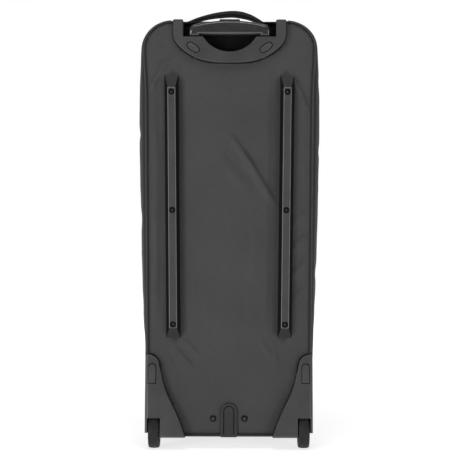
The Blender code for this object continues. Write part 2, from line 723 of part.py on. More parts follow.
def grip_outline():
    """The grip from the back: the crowned bar and its two legs."""
    wide, leg = GRIP_HALF_WIDTH, GRIP_HALF_WIDTH - LEG_WIDTH
    foot = SEAT_TOP + GAP
    corner = []
    for step in range(CORNER_STEPS + 1):
        turn = math.pi / 2 * step / CORNER_STEPS
        across = wide - GRIP_CORNER * (1 - math.cos(turn))
        corner.append((across, GRIP_TOP - GRIP_CORNER * (1 - math.sin(turn))))
    crown = []
    steps = 8
    for step in range(1, steps):
        across = 1 - 2 * step / steps
        crown.append(((wide - GRIP_CORNER) * across, GRIP_TOP + GRIP_CROWN * (1 - across**2)))
    points = [(-wide, foot), (-leg, foot), (-leg, GRIP_UNDERSIDE), (leg, GRIP_UNDERSIDE)]
    points += [(leg, foot), (wide, foot), *corner, *crown]
    return [*points, *((-across, up) for across, up in corner[::-1])]


def build_handle():
    """The grip with its button's pocket, the two tubes in it, and the guides that they slide in."""
    rear = BACK_Y - GRIP_REAR
    front = rear + GRIP_DEPTH
    grip = outline_solid("handle_grip", grip_outline(), rear, front, "moulded_plastic")
    round_edges(grip, GRIP_ROUND)
    crown = GRIP_TOP + GRIP_CROWN
    middle = (rear + front) / 2
    button_top = crown + BUTTON_PROUD
    pocket = box(
        "button_cutter",
        (
            -BUTTON_HALF_LENGTH - GAP,
            middle - BUTTON_WIDTH / 2 - GAP,
            button_top - BUTTON_BODY - BUTTON_TRAVEL - GAP,
        ),
        (BUTTON_HALF_LENGTH + GAP, middle + BUTTON_WIDTH / 2 + GAP, button_top),
    )
    cut(grip, pocket)
    button = box(
        "grip_button",
        (-BUTTON_HALF_LENGTH, middle - BUTTON_WIDTH / 2, button_top - BUTTON_BODY),
        (BUTTON_HALF_LENGTH, middle + BUTTON_WIDTH / 2, button_top),
        "moulded_plastic",
    )
    round_edges(button, BUTTON_PROUD / 2)
    tube_top = SEAT_TOP + GAP + TUBE_IN_GRIP
    for name, side in SIDES.items():
        x, y = side * TUBE_X, BACK_Y + TUBE_BEHIND
        hole = rod(
            f"tube_cutter_{name}",
            TUBE_RADIUS + GAP,
            (x, y, SEAT_TOP + GAP),
            2 * (TUBE_IN_GRIP + GAP),
            "Z",
            steps=TUBE_STEPS,
        )
        cut(grip, hole)
        rod(
            f"handle_tube_{name}",
            TUBE_RADIUS,
            (x, y, tube_top - TUBE_LENGTH / 2),
            TUBE_LENGTH,
            "Z",
            "tube_metal",
            TUBE_STEPS,
        )
        build_guide(name, x, y)


def build_guide(name, x, y):
    """A guide tube, open at both ends, with its top in the handle plate."""
    top = SEAT_TOP - GAP
    profile = [
        (GUIDE_BORE, top),
        (GUIDE_RADIUS, top),
        (GUIDE_RADIUS, top - GUIDE_LENGTH),
        (GUIDE_BORE, top - GUIDE_LENGTH),
        (GUIDE_BORE, top),
    ]
    guide = turned(f"guide_tube_{name}", profile, "tube_metal", TUBE_STEPS)
    guide.location = (x, y, 0.0)


def rail_mesh(name):
    """A rail about its own middle: a flat-topped bar with ramped ends, standing up along its own Z."""
    bm = bmesh.new()
    bmesh.ops.create_cube(bm, size=1.0)
    bmesh.ops.scale(bm, vec=(RAIL_BASE_WIDTH, RAIL_TOP - RAIL_LOW, RAIL_HEIGHT), verts=bm.verts)
    for vert in bm.verts:
        if vert.co.z > 0:
            vert.co.x *= RAIL_FLAT_WIDTH / RAIL_BASE_WIDTH
            vert.co.y += -RAIL_RAMP_TOP if vert.co.y > 0 else RAIL_RAMP_LOW
    return mesh_of_bmesh(name, bm)


def build_rails():
    """The rails with their screws, each rail leaning in a little towards the bottom."""
    lean = math.atan2(RAIL_X_TOP - RAIL_X_LOW, RAIL_TOP - RAIL_LOW)
    centre_z = (RAIL_TOP + RAIL_LOW) / 2
    face = BACK_Y - GAP - RAIL_HEIGHT
    for name, side in SIDES.items():
        rail = place(f"rail_{name}", rail_mesh(f"rail_{name}"), "rail_plastic")
        centre_x = side * (RAIL_X_TOP + RAIL_X_LOW) / 2
        rail.location = (centre_x, face + RAIL_HEIGHT / 2, centre_z)
        rail.rotation_euler = (math.pi / 2, side * lean, 0.0)
        round_edges(rail, RAIL_ROUND, 1)
        for place_name, height in SCREW_HEIGHTS.items():
            x = centre_x + side * math.tan(lean) * (height - centre_z)
            build_screw(rail, f"{name}_{place_name}", x, face, height)


def build_screw(rail, name, x, face, height):
    centre = (x, face, height)
    for part, radius, length, steps in (
        ("recess", SCREW_RECESS_RADIUS, 2 * SCREW_RECESS_DEPTH, TUBE_STEPS),
        ("shank", SCREW_SHANK_RADIUS + GAP, 4 * RAIL_HEIGHT, SCREW_STEPS),
    ):
        cut(rail, rod(f"{part}_cutter_{name}", radius, centre, length, "Y", steps=steps))
    foot = SCREW_RECESS_DEPTH - RAIL_HEIGHT
    profile = [
        *dome_profile(SCREW_HEAD_RADIUS, SCREW_HEAD_HEIGHT),
        (SCREW_SHANK_RADIUS, 0.0),
        (SCREW_SHANK_RADIUS, foot),
        (0.0, foot),
    ]
    screw = turned(f"rail_screw_{name}", profile, "screw_metal", SCREW_STEPS)
    screw.location = (x, face + SCREW_RECESS_DEPTH - GAP, height)
    screw.rotation_euler = (math.pi / 2, 0.0, 0.0)


def housing_outline(side, grow=0.0):
    """A housing from the back: its S-shaped inner edge, the rounded top and the straight outer side."""
    height = HOUSING_TOP - HOUSING_LOW
    width = HOUSING_OUTER - HOUSING_INNER
    last = HOUSING_EDGE[-1]
    points = []
    steps = 8
    for step in range(steps + 1):
        share = last[0] * step / steps
        inset = curve_value(HOUSING_EDGE, share, 1)
        points.append((HOUSING_OUTER - inset * width - grow, HOUSING_LOW + share * height - grow))
    edge_x, edge_z = HOUSING_OUTER - last[1] * width, HOUSING_LOW + last[0] * height
    for step in range(1, 5):
        turn = math.pi / 2 * step / 4
        points.append(
            (
                edge_x + HOUSING_TOP_LENGTH * (1 - math.cos(turn)) - grow * math.cos(turn),
                edge_z + (HOUSING_TOP - edge_z) * math.sin(turn) + grow * math.sin(turn),
            )
        )
    points += [
        (HOUSING_OUTER + grow, HOUSING_TOP + grow - HOUSING_ROUND),
        (HOUSING_OUTER + grow, HOUSING_LOW - grow),
    ]
    return [(side * x, z) for x, z in points]


def face_y(height):
    """The housing's sloping rear face at this height."""
    share = (HOUSING_TOP - height) / (HOUSING_TOP - HOUSING_LOW)
    return BACK_Y - HOUSING_PROUD_TOP - (HOUSING_PROUD_LOW - HOUSING_PROUD_TOP) * share


def well_outline(grow=0.0):
    """A wheel well from the side: low and deep at the bottom, sloping up behind the back panel."""
    low, deep = HOUSING_LOW + WELL_STEP - grow, BACK_Y + WELL_DEPTH + grow
    rear = BACK_Y + HOUSING_WRAP / 2 - grow
    chamfer = WELL_DEPTH / 4
    return [
        (rear, low),
        (deep, low),
        (deep, WELL_SHOULDER + grow),
        (deep - chamfer, WELL_SHOULDER + grow + chamfer),
        (rear, WELL_TOP + grow),
    ]


def cheek_outline():
    """The room below the outer cheek, from the side: its lower edge rises to the rear face."""
    axle, rear = BACK_Y + WHEEL_BEHIND, BACK_Y - HOUSING_PROUD_LOW
    rise = (OUTER_CHEEK_FRONT - OUTER_CHEEK_LOW) / (axle - rear)
    behind, ahead = rear - HOUSING_WRAP, axle + WHEEL_RADIUS
    return [
        (behind, -HOUSING_LOW),
        (ahead, -HOUSING_LOW),
        (ahead, OUTER_CHEEK_LOW),
        (axle, OUTER_CHEEK_LOW),
        (behind, OUTER_CHEEK_LOW + rise * (axle - behind)),
    ]


def fork_outline():
    """The inner cheek's point beside the wheel, from the side."""
    axle = BACK_Y + WHEEL_BEHIND
    reach, tip = WHEEL_RADIUS * FORK_REACH, WHEEL_RADIUS * FORK_TIP
    return [
        (axle - reach, WHEEL_RADIUS),
        (axle - tip, FORK_LOW),
        (axle + tip, FORK_LOW),
        (axle + reach, WHEEL_RADIUS),
    ]


def wheel_space_outline():
    """The room that the wheel turns in, from the side: round above, open to the back and to the floor."""
    axle, radius = BACK_Y + WHEEL_BEHIND, WHEEL_RADIUS + WHEEL_GAP
    behind = BACK_Y - 2 * HOUSING_PROUD_LOW
    start = math.asin((WHEEL_OPENING_TOP - WHEEL_RADIUS) / radius)
    steps = 16
    points = [(behind, -HOUSING_LOW), (behind, WHEEL_OPENING_TOP)]
    for step in range(steps + 1):
        turn = math.pi - start - (math.pi - start) * step / steps
        points.append((axle + radius * math.cos(turn), WHEEL_RADIUS + radius * math.sin(turn)))
    return [*points, (axle + radius, -HOUSING_LOW)]


def ordered(first, second):
    return min(first, second), max(first, second)


def slope_face(housing):
    """Leans the housing's rear face, so that it stands out most at the bottom."""
    middle = housing.location.y
    for vert in housing.data.vertices:
        if vert.co.z > 0:
            vert.co.z = middle - face_y(vert.co.y)


def pad_outline(inset):
    """A thumb shape about its own middle: a flat foot and a round top."""
    half = PAD_WIDTH / 2 - inset
    low = (PAD_LOW - PAD_TOP) / 2 + inset
    round_z = (PAD_TOP - PAD_LOW) / 2 - PAD_WIDTH / 2
    points = [(-half, low), (half, low)]
    for step in range(9):
        turn = math.pi * step / 8
        points.append((half * math.cos(turn), round_z + half * math.sin(turn)))
    return points


def place_pad(obj, side, lift):
    """Puts a pad's shape on the sloping face of its housing, lifted along the face's normal."""
    height = (PAD_LOW + PAD_TOP) / 2
    outward = Vector((0.0, -math.cos(HOUSING_TILT), math.sin(HOUSING_TILT)))
    obj.location = Vector((side * PAD_X, face_y(height), height)) + outward * lift
    obj.rotation_euler = (math.pi / 2 - HOUSING_TILT, 0.0, 0.0)


def build_housing(body, name, side):
    """A plastic corner: the plate, the wheel well behind it, and the two cheeks that hold the axle."""
    rear = BACK_Y - HOUSING_PROUD_LOW
    inner = BACK_Y + HOUSING_WRAP
    housing = outline_solid(
        f"wheel_housing_{name}", housing_outline(side), rear, inner, "moulded_plastic"
    )
    slope_face(housing)
    round_edges(housing, HOUSING_ROUND)
    well_x = ordered(side * WELL_INNER, side * (HOUSING_OUTER - WELL_STEP))
    well = outline_solid(f"well_{name}", well_outline(), *well_x, plane="YZ")
    round_edges(well, HOUSING_ROUND)
    cut(housing, well, "UNION")
    slot_inner = WHEEL_X - SLOT_HALF_WIDTH
    cheek_x = ordered(side * WHEEL_X, side * (HOUSING_OUTER + HOUSING_ROUND))
    cut(housing, outline_solid(f"cheek_cutter_{name}", cheek_outline(), *cheek_x, plane="YZ"))
    fork_x = ordered(side * (WELL_INNER + WELL_STEP), side * (slot_inner + WHEEL_GAP))
    cut(housing, outline_solid(f"fork_{name}", fork_outline(), *fork_x, plane="YZ"), "UNION")
    slot_x = ordered(side * slot_inner, side * (WHEEL_X + SLOT_HALF_WIDTH))
    slot = outline_solid(f"slot_cutter_{name}", wheel_space_outline(), *slot_x, plane="YZ")
    cut(housing, slot)
    build_axle(housing, name, side)
    build_pad(housing, name, side)
    sleeve = outline_solid(f"housing_sleeve_{name}", housing_outline(side, GAP), rear, inner + GAP)
    cut(body, sleeve)
    sleeve_x = ordered(side * (WELL_INNER - GAP), side * (HOUSING_OUTER + GAP))
    cut(body, outline_solid(f"well_sleeve_{name}", well_outline(GAP), *sleeve_x, plane="YZ"))


def build_axle(housing, name, side):
    """The pin that the wheel turns on, held in both cheeks."""
    length = HOUSING_OUTER - WELL_INNER - HOUSING_ROUND
    centre = (side * (WELL_INNER + HOUSING_OUTER) / 2, BACK_Y + WHEEL_BEHIND, WHEEL_RADIUS)
    bore = rod(f"axle_cutter_{name}", AXLE_RADIUS + GAP, centre, length + 2 * GAP, "X", steps=TUBE_STEPS)
    cut(housing, bore)
    rod(f"wheel_axle_{name}", AXLE_RADIUS, centre, length, "X", "screw_metal", TUBE_STEPS)


def build_pad(housing, name, side):
    recess = outline_solid(f"pad_cutter_{name}", pad_outline(0.0), 0.0, 2 * PAD_RECESS)
    place_pad(recess, side, 0.0)
    cut(housing, recess)
    pad = outline_solid(f"housing_pad_{name}", pad_outline(PAD_RIM), 0.0, PAD_RECESS, "moulded_plastic")
    place_pad(pad, side, GAP - PAD_RECESS / 2)
    round_edges(pad, PAD_RIM, 1)


def build_wheel(name, side):
    """A wheel on its axle: the tyre with a crowned tread, and the hub."""
    centre = (side * WHEEL_X, BACK_Y + WHEEL_BEHIND, WHEEL_RADIUS)
    half = WHEEL_WIDTH / 2
    bore = HUB_RADIUS + GAP
    upper = [(WHEEL_RADIUS * radius, half * height) for radius, height in TREAD]
    upper.insert(0, (bore, half))
    lower = [(radius, -height) for radius, height in upper[-2::-1]]
    tyre = turned(f"wheel_tyre_{name}", [*upper, *lower, upper[0]], "tyre")
    hub_half = HUB_WIDTH / 2
    hub_bore = AXLE_RADIUS + GAP
    rim, boss, dish = HUB_RADIUS - HUB_RIM, HUB_BOSS, hub_half - HUB_DISH
    hub_upper = [(hub_bore, hub_half), (boss, hub_half), (boss, dish), (rim, dish), (rim, hub_half)]
    hub_upper.append((HUB_RADIUS, hub_half))
    hub_lower = [(radius, -height) for radius, height in hub_upper[::-1]]
    hub = turned(f"wheel_hub_{name}", [*hub_upper, *hub_lower, hub_upper[0]], "hub", TUBE_STEPS)
    for piece in (tyre, hub):
        piece.location = centre
        piece.rotation_euler = (0.0, math.pi / 2, 0.0)


def tab_outline(width, low, top):
    half = width / 2
    points = [(-half, low), (half, low)]
    for step in range(11):
        turn = math.pi * step / 10
        points.append((half * math.cos(turn), top - half + half * math.sin(turn)))
    return points


def build_tab():
    """The U-shaped tab at the bottom of the back, and its two domed rivets."""
    inner = BACK_Y - GAP
    outer = inner - TAB_THICKNESS
    outline = tab_outline(TAB_WIDTH, TAB_LOW, TAB_TOP)
    tab = outline_solid("kick_tab", outline, outer, inner, "moulded_plastic")
    rim = (TAB_WIDTH - TAB_GROOVE_WIDTH) / 2
    groove_outline = tab_outline(TAB_GROOVE_WIDTH, TAB_GROOVE_LOW, TAB_TOP - rim)
    groove = outline_solid(
        "groove_cutter", groove_outline, outer - TAB_THICKNESS, outer + TAB_GROOVE_DEPTH
    )
    cut(tab, groove)
    profile = [*dome_profile(RIVET_RADIUS, RIVET_HEIGHT), (0.0, 0.0)]
    for name, side in SIDES.items():
        rivet = turned(f"tab_rivet_{name}", profile, "screw_metal", TUBE_STEPS)
        rivet.location = (side * RIVET_X, inner, RIVET_Z)
        rivet.rotation_euler = (math.pi / 2, 0.0, 0.0)


def build_feet():
    """Two plain feet under the front of the bag."""
    front = BACK_Y + zip_edge(-1) * BODY_DEPTH - FOOT_INSET
    top = BODY_BOTTOM - GAP
    for name, side in SIDES.items():
        x = side * FOOT_X
        foot = box(
            f"front_foot_{name}",
            (x - FOOT_LENGTH / 2, front - FOOT_DEPTH, 0.0),
            (x + FOOT_LENGTH / 2, front, top),
            "moulded_plastic",
        )
        round_edges(foot, FOOT_ROUND)


def build_strap():
    """The carry strap: thin ends that lie on the top, and a padded arch between them."""
    span = STRAP_RIGHT - STRAP_LEFT
    base = BODY_TOP + GAP
    y = BACK_Y + STRAP_DEPTH_SHARE * BODY_DEPTH
    rows = []
    for along, rise, pad in STRAP_SECTIONS:
        thickness = STRAP_THIN + (STRAP_THICK - STRAP_THIN) * pad
        top = base + STRAP_THIN + rise * (STRAP_RISE - STRAP_THIN)
        rows.append((STRAP_LEFT + along * span, top, thickness))
    bm = bmesh.new()
    rings = []
    for index, (x, top, thickness) in enumerate(rows):
        before, after = rows[max(0, index - 1)], rows[min(len(rows) - 1, index + 1)]
        slope = Vector((after[0] - before[0], after[1] - before[1])).normalized()
        if rows[index][1] == base + STRAP_THIN:
            slope = Vector((1.0, 0.0))
        down = Vector((slope.y, -slope.x))
        verts = []
        for across, share in (*STRAP_EDGE, *((across, 1 - share) for across, share in STRAP_EDGE[::-1])):
            point = Vector((x, top)) + down * thickness * share
            verts.append(bm.verts.new((point.x, y + across * STRAP_WIDTH, point.y)))
        rings.append(verts)
    for ring, following in zip(rings, rings[1:]):
        for i in range(len(ring)):
            j = (i + 1) % len(ring)
            bm.faces.new((ring[i], ring[j], following[j], following[i]))
    bm.faces.new(rings[0][::-1])
    bm.faces.new(rings[-1])
    bmesh.ops.recalc_face_normals(bm, faces=bm.faces)
    place("carry_strap", mesh_of_bmesh("carry_strap", bm), "strap")


def main():
    clear_scene()
    body = build_bag_body()
    build_bag_lid()
    build_zip()
    build_piping()
    build_handle_plate(body)
    build_handle()
    build_rails()
    for name, side in SIDES.items():
        build_housing(body, name, side)
        build_wheel(name, side)
    build_tab()
    build_feet()
    build_strap()


main()
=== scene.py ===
"""The looks of a tall wheeled gear bag: cloth, plastic, metal and webbing round its fixed frame.

Metres, +Z up. The carried back faces -Y and the zipped lid +Y. Left and right are those of someone who
looks at the back.
"""

import math

import bmesh
import bpy
import numpy as np
from mathutils import Matrix, Vector, noise


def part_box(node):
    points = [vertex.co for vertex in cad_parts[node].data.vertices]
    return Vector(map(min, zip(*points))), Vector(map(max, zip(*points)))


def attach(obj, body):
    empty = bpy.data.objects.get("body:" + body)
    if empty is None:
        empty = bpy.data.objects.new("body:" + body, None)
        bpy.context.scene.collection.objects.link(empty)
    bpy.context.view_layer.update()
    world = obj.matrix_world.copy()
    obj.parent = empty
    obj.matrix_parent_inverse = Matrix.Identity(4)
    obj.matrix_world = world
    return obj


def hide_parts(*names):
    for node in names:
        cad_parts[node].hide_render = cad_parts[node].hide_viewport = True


# Cloth body, as the frame has it
BODY_BOTTOM, BODY_TOP = 0.0245, 0.882
BODY_HALF_WIDTH = 0.191
BODY_DEPTH = 0.280
BODY_CORNER = 0.057
SEAM_DROP, SEAM_RISE = 0.008, 0.004
CLOTH = 0.0025
BULGE_POWER = 2.6
LID_CROWN = 0.010
BACK_Y = -0.132
ZIP_DEPTH, ZIP_WIDTH = 0.80, 0.009
GAP = 0.0003

# Body sections: height share, half width of the seam and of the widest cloth as shares of BODY_HALF_WIDTH
SECTIONS = (
    (0.00, 0.860, 0.890),
    (0.10, 0.861, 0.900),
    (0.23, 0.869, 0.935),
    (0.47, 0.877, 0.974),
    (0.62, 0.882, 0.990),
    (0.75, 0.886, 1.000),
    (0.84, 0.892, 0.995),
    (0.91, 0.911, 0.979),
    (1.00, 0.916, 0.963),
)

# Handle plate and grip
PLATE_HALF_WIDTH, PLATE_TOP = 0.1157, 0.878
PLATE_SIDE_LOW, PLATE_LOW, PLATE_CURVE = 0.836, 0.7893, 3.0
PLATE_REAR, PLATE_INNER, PLATE_WALL = BACK_Y - 0.014, BACK_Y + 0.0276, 0.004
EAR_WIDTH, SEAT_TOP = 0.021, 0.8433
BOWL_RADIUS, BOWL_LOW = 0.0625, 0.8126
CAP_LENGTH, CAP_WIDTH, CAP_TILT = 0.0297, 0.0154, math.radians(35)
CAP_X, CAP_Z = 0.0744, 0.8204
GRIP_HALF_WIDTH, GRIP_TOP, GRIP_CROWN, GRIP_UNDERSIDE = 0.0832, 0.8688, 0.0086, 0.8470
GRIP_REAR, GRIP_FRONT, GRIP_CORNER = BACK_Y - 0.008, BACK_Y + 0.023, 0.012
LEG_WIDTH, GRIP_EDGE = 0.022, 0.0066
TUBE_X, TUBE_Y = GRIP_HALF_WIDTH - LEG_WIDTH / 2, BACK_Y + 0.015
TUBE_RADIUS, TUBE_LENGTH, TUBE_INSET = 0.0055, 0.420, 0.014
GRIP_HOLE, GUIDE_BORE, GUIDE_HOLE = 0.0058, 0.0060, 0.0076
BUTTON_RIBS = (-0.009, -0.0045, 0.0, 0.0045, 0.009)
BUTTON_HALF_LENGTH, BUTTON_WIDTH, BUTTON_PROUD, BUTTON_BODY = 0.021, 0.014, 0.0032, 0.011

# Skid rails
RAIL_LOW, RAIL_TOP = 0.2269, 0.7667
RAIL_X_TOP, RAIL_X_LOW = 0.1189, 0.1137
RAIL_BASE_WIDTH, RAIL_FLAT_WIDTH, RAIL_HEIGHT = 0.030, 0.016, 0.015
RAIL_RAMP_TOP, RAIL_RAMP_LOW = 0.0285, 0.0216
RAIL_FACE = BACK_Y - GAP - RAIL_HEIGHT
SCREW_HEIGHTS = {"top": 0.730, "middle": 0.489, "bottom": 0.2556}
SCREW_RECESS_RADIUS, SCREW_RECESS_DEPTH = 0.00645, 0.004

# Wheels and their housings
WHEEL_RADIUS, WHEEL_WIDTH, WHEEL_X = 0.038, 0.0230, 0.15322
WHEEL_Y, WHEEL_GAP = BACK_Y + 0.012, 0.0016
HUB_RADIUS, HUB_WIDTH, AXLE_RADIUS = 0.0245, 0.0200, 0.003
HOUSING_OUTER, HOUSING_INNER = 0.17142, 0.08892
HOUSING_LOW, HOUSING_TOP = 0.0255, 0.195
HOUSING_PROUD_LOW, HOUSING_PROUD_TOP, HOUSING_WRAP = 0.0255, 0.009, 0.014
HOUSING_TOP_LENGTH = 0.0248
HOUSING_EDGE = (
    (0.00, 1.000),
    (0.19, 0.862),
    (0.35, 0.717),
    (0.47, 0.592),
    (0.592, 0.489),
    (0.736, 0.412),
    (0.867, 0.359),
)
HOUSING_TILT = math.atan2(HOUSING_PROUD_LOW - HOUSING_PROUD_TOP, HOUSING_TOP - HOUSING_LOW)
WELL_INNER, WELL_DEPTH, WELL_TOP, WELL_SHOULDER, WELL_STEP = 0.13012, 0.064, 0.135, 0.062, 0.0004
WHEEL_OPENING_TOP, OUTER_CHEEK_LOW, OUTER_CHEEK_FRONT, FORK_LOW = 0.0655, 0.0308, 0.0362, 0.0275
PAD_LOW, PAD_TOP, PAD_WIDTH, PAD_X = 0.1349, 0.1765, 0.0175, 0.15682

# Tab, feet and carry strap
TAB_WIDTH, TAB_TOP, TAB_LOW, TAB_THICKNESS, TAB_GROOVE_WIDTH = 0.0336, 0.094, 0.0241, 0.0050, 0.0225
RIVET_X, RIVET_Z, RIVET_RADIUS, RIVET_DOME = 0.0322, 0.062, 0.0065, 0.0048
FOOT_LENGTH, FOOT_DEPTH, FOOT_X = 0.060, 0.036, 0.118
FOOT_FRONT = BACK_Y + ZIP_DEPTH * BODY_DEPTH - ZIP_WIDTH / 2 - 0.004
STRAP_WIDTH, STRAP_Y = 0.034, 0.008
STRAP_LEFT, STRAP_RIGHT, STRAP_RISE = -0.132, 0.118, 0.038
STRAP_THIN, STRAP_THICK = 0.0045, 0.0130
STRAP_SECTIONS = (
    (0.000, 0.00, 0.0),
    (0.080, 0.00, 0.0),
    (0.125, 0.12, 0.0),
    (0.185, 0.32, 0.1),
    (0.250, 0.52, 0.2),
    (0.340, 0.73, 0.4),
    (0.450, 0.92, 0.8),
    (0.560, 1.00, 1.0),
    (0.640, 0.93, 1.0),
    (0.705, 0.77, 0.8),
    (0.765, 0.52, 0.4),
    (0.825, 0.22, 0.1),
    (0.875, 0.00, 0.0),
    (1.000, 0.00, 0.0),
)
PIPING_RADIUS, SEAM_GAP = 0.0019, 0.0005
PIPING_OUT, PIPING_BACK = 0.6, 0.8
STITCH_PITCH, STITCH_RADIUS = 0.0042, 0.00042

SIDES = {"left": -1, "right": 1}
# The side band is the same nylon as the back, painted darker as shade.
CLOTH_SHADE, SIDE_PAINTED_SHADE = 0.034, 0.014
# How far in from the back seam, and how far back on the band, the cloth is painted dark as the seam's shade.
SEAM_SHADE_REACH, SEAM_SHADE_DEPTH = 0.0042, 0.0036
FLOOR_GLOW, AIR_GLOW = 0.72, 0.10
FLOOR_RADIUS, FLOOR_FADE, FLOOR_Z = 6.0, (0.05, 0.35), -0.0005
MIDDLE = (0.0, 0.0, 0.45)
# Place, aim, width and height in metres, and watts
LIGHTS = {
    "left_light": ((-2.7, -3.4, 0.7), MIDDLE, 1.2, 1.2, 60),
    "right_light": ((2.7, -3.4, 0.7), MIDDLE, 1.2, 1.2, 25),
    "top_light": ((0.0, -1.7, 2.9), (0.0, -0.1, 0.86), 1.5, 0.8, 19),
    "far_light": ((0.0, 2.9, 2.2), MIDDLE, 1.8, 1.8, 16),
}
CAMERA_PLACE, CAMERA_ROLL, CAMERA_ANGLE = (0.0016, -2.73, 0.4482), -0.0022, 20.56


# Selecting and editing


def only(obj):
    """Makes obj the one selected object."""
    bpy.ops.object.select_all(action="DESELECT")
    obj.select_set(True)
    bpy.context.view_layer.objects.active = obj


def begin_edit(obj, kind="FACE"):
    only(obj)
    bpy.ops.object.mode_set(mode="EDIT")
    bpy.ops.mesh.select_mode(type=kind)
    bpy.ops.mesh.select_all(action="DESELECT")


def end_edit():
    bpy.ops.object.mode_set(mode="OBJECT")


def select_all():
    bpy.ops.mesh.select_all(action="SELECT")


def named(name):
    """The object that was just added, under this name."""
    obj = bpy.context.object
    obj.name = obj.data.name = name
    return obj


def duplicated(obj, name):
    only(obj)
    bpy.ops.object.duplicate()
    return named(name)


def longer(edge, axis, least):
    """Whether the edge runs further than this along the axis, which is 0, 1 or 2."""
    first, second = edge.verts
    return abs(first.co[axis] - second.co[axis]) > least


def choose(obj, kind, test):
    """Selects the edit mesh's faces, edges or verts that pass the test, and returns how many."""
    bm = bmesh.from_edit_mesh(obj.data)
    count = 0
    for element in getattr(bm, kind):
        if test(element):
            element.select = True
            count += 1
    bm.select_flush_mode()
    bmesh.update_edit_mesh(obj.data)
    return count


def start_box(name, low, high):
    """A box between two corners, to be shaped further."""
    low, high = Vector(low), Vector(high)
    bpy.ops.mesh.primitive_cube_add(size=1, location=(low + high) / 2, scale=high - low)
    obj = named(name)
    bpy.ops.object.transform_apply(location=True, rotation=True, scale=True)
    return obj


def apply_modifier(obj, kind, **settings):
    only(obj)
    modifier = obj.modifiers.new(kind.title(), kind)
    for key, value in settings.items():
        setattr(modifier, key, value)
    bpy.ops.object.modifier_apply(modifier=modifier.name)


def vertices_of(obj):
    places = np.zeros(len(obj.data.vertices) * 3)
    obj.data.vertices.foreach_get("co", places)
    return places.reshape(-1, 3)


def move_vertices(obj, places):
    obj.data.vertices.foreach_set("co", np.asarray(places, float).ravel())
    obj.data.update()


def finish_piece(obj, material, body, slot, *nodes, angle=None):
    """Gives a piece its finish, its body and the frame's pieces that it stands for."""
    obj.data.materials.clear()
    obj.data.materials.append(material)
    only(obj)
    if angle is None:
        bpy.ops.object.shade_smooth()
    else:
        bpy.ops.object.shade_smooth_by_angle(angle=math.radians(angle))
        weigh(obj)
    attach(obj, body)
    if nodes:
        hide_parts(*nodes)
    return obj


def paint_faces(obj, material, test):
    """Gives the faces that pass the test another material."""
    obj.data.materials.append(material)
    index = len(obj.data.materials) - 1
    for face in obj.data.polygons:
        if test(face):
            face.material_index = index


# Finishes


def add_node(tree, kind, inputs=None, **settings):
    """A shader node with its settings; an input is a value or another node's socket."""
    node = tree.nodes.new(kind)
    for key, value in settings.items():
        setattr(node, key, value)
    for key, value in (inputs or {}).items():
        if isinstance(value, bpy.types.NodeSocket):
            tree.links.new(value, node.inputs[key])
        else:
            node.inputs[key].default_value = value
    return node


def math_node(tree, operation, first, second=0.0):
    return add_node(tree, "ShaderNodeMath", {0: first, 1: second}, operation=operation).outputs[0]


def absolute(tree, value):
    return math_node(tree, "ABSOLUTE", value)


def yarn_row(tree, value, turn):
    """The round backs of a row of yarns."""
    return absolute(tree, math_node(tree, "SINE", math_node(tree, "MULTIPLY", value, turn)))


def multiplied(tree, first, second):
    """One colour times another."""
    inputs = {0: 1.0, 6: first, 7: second}
    return add_node(tree, "ShaderNodeMix", inputs, data_type="RGBA", blend_type="MULTIPLY").outputs[2]


def object_spot(tree):
    return add_node(tree, "ShaderNodeTexCoord").outputs["Object"]


def start_finish(name, roughness, metallic=0.0):
    """A material and its tree and shader."""
    material = bpy.data.materials.new(name)
    material.use_nodes = True
    shader = material.node_tree.nodes["Principled BSDF"]
    shader.inputs["Roughness"].default_value = roughness
    shader.inputs["Metallic"].default_value = metallic
    return material, material.node_tree, shader


def grey(value, warm=0.0):
    return (value * (1 + warm), value, value * (1 - warm), 1.0)


def clouds(tree, vector, scale, detail=3.0, roughness=0.55):
    inputs = {"Vector": vector, "Scale": scale, "Detail": detail, "Roughness": roughness}
    return add_node(tree, "ShaderNodeTexNoise", inputs).outputs["Fac"]


def between(tree, factor, dark, light, low=0.3, high=0.7):
    """A colour that goes from dark to light as the factor goes from low to high."""
    ramp = add_node(tree, "ShaderNodeValToRGB", {"Fac": factor})
    ramp.color_ramp.elements[0].position, ramp.color_ramp.elements[0].color = low, dark
    ramp.color_ramp.elements[1].position, ramp.color_ramp.elements[1].color = high, light
    return ramp.outputs["Color"]


def raised(tree, shader, height, distance, strength=1.0, below=None):
    inputs = {"Height": height, "Distance": distance, "Strength": strength}
    if below is not None:
        inputs["Normal"] = below
    bump = add_node(tree, "ShaderNodeBump", inputs)
    tree.links.new(bump.outputs["Normal"], shader.inputs["Normal"])
    return bump.outputs["Normal"]


def rail_painted_shade(tree, spot):
    """Painted shade along the rails: dark beside a rail and white away from it, as a factor on the cloth's
    colour.
    """
    split = add_node(tree, "ShaderNodeSeparateXYZ", {"Vector": spot})
    lean = (RAIL_X_TOP - RAIL_X_LOW) / (RAIL_TOP - RAIL_LOW)
    axis = math_node(tree, "MULTIPLY", split.outputs["Z"], lean)
    axis = math_node(tree, "ADD", axis, RAIL_X_LOW - RAIL_LOW * lean - 0.003)
    away = math_node(tree, "SUBTRACT", absolute(tree, split.outputs["X"]), axis)
    beyond = math_node(tree, "SUBTRACT", split.outputs["Z"], (RAIL_TOP + RAIL_LOW) / 2)
    beyond = math_node(tree, "SUBTRACT", absolute(tree, beyond), (RAIL_TOP - RAIL_LOW) / 2 - 0.012)
    total = math_node(tree, "ADD", absolute(tree, away), math_node(tree, "MAXIMUM", beyond, 0.0))
    return between(tree, math_node(tree, "MULTIPLY", total, 10.0), grey(0.28), grey(1.0), 0.16, 0.27)


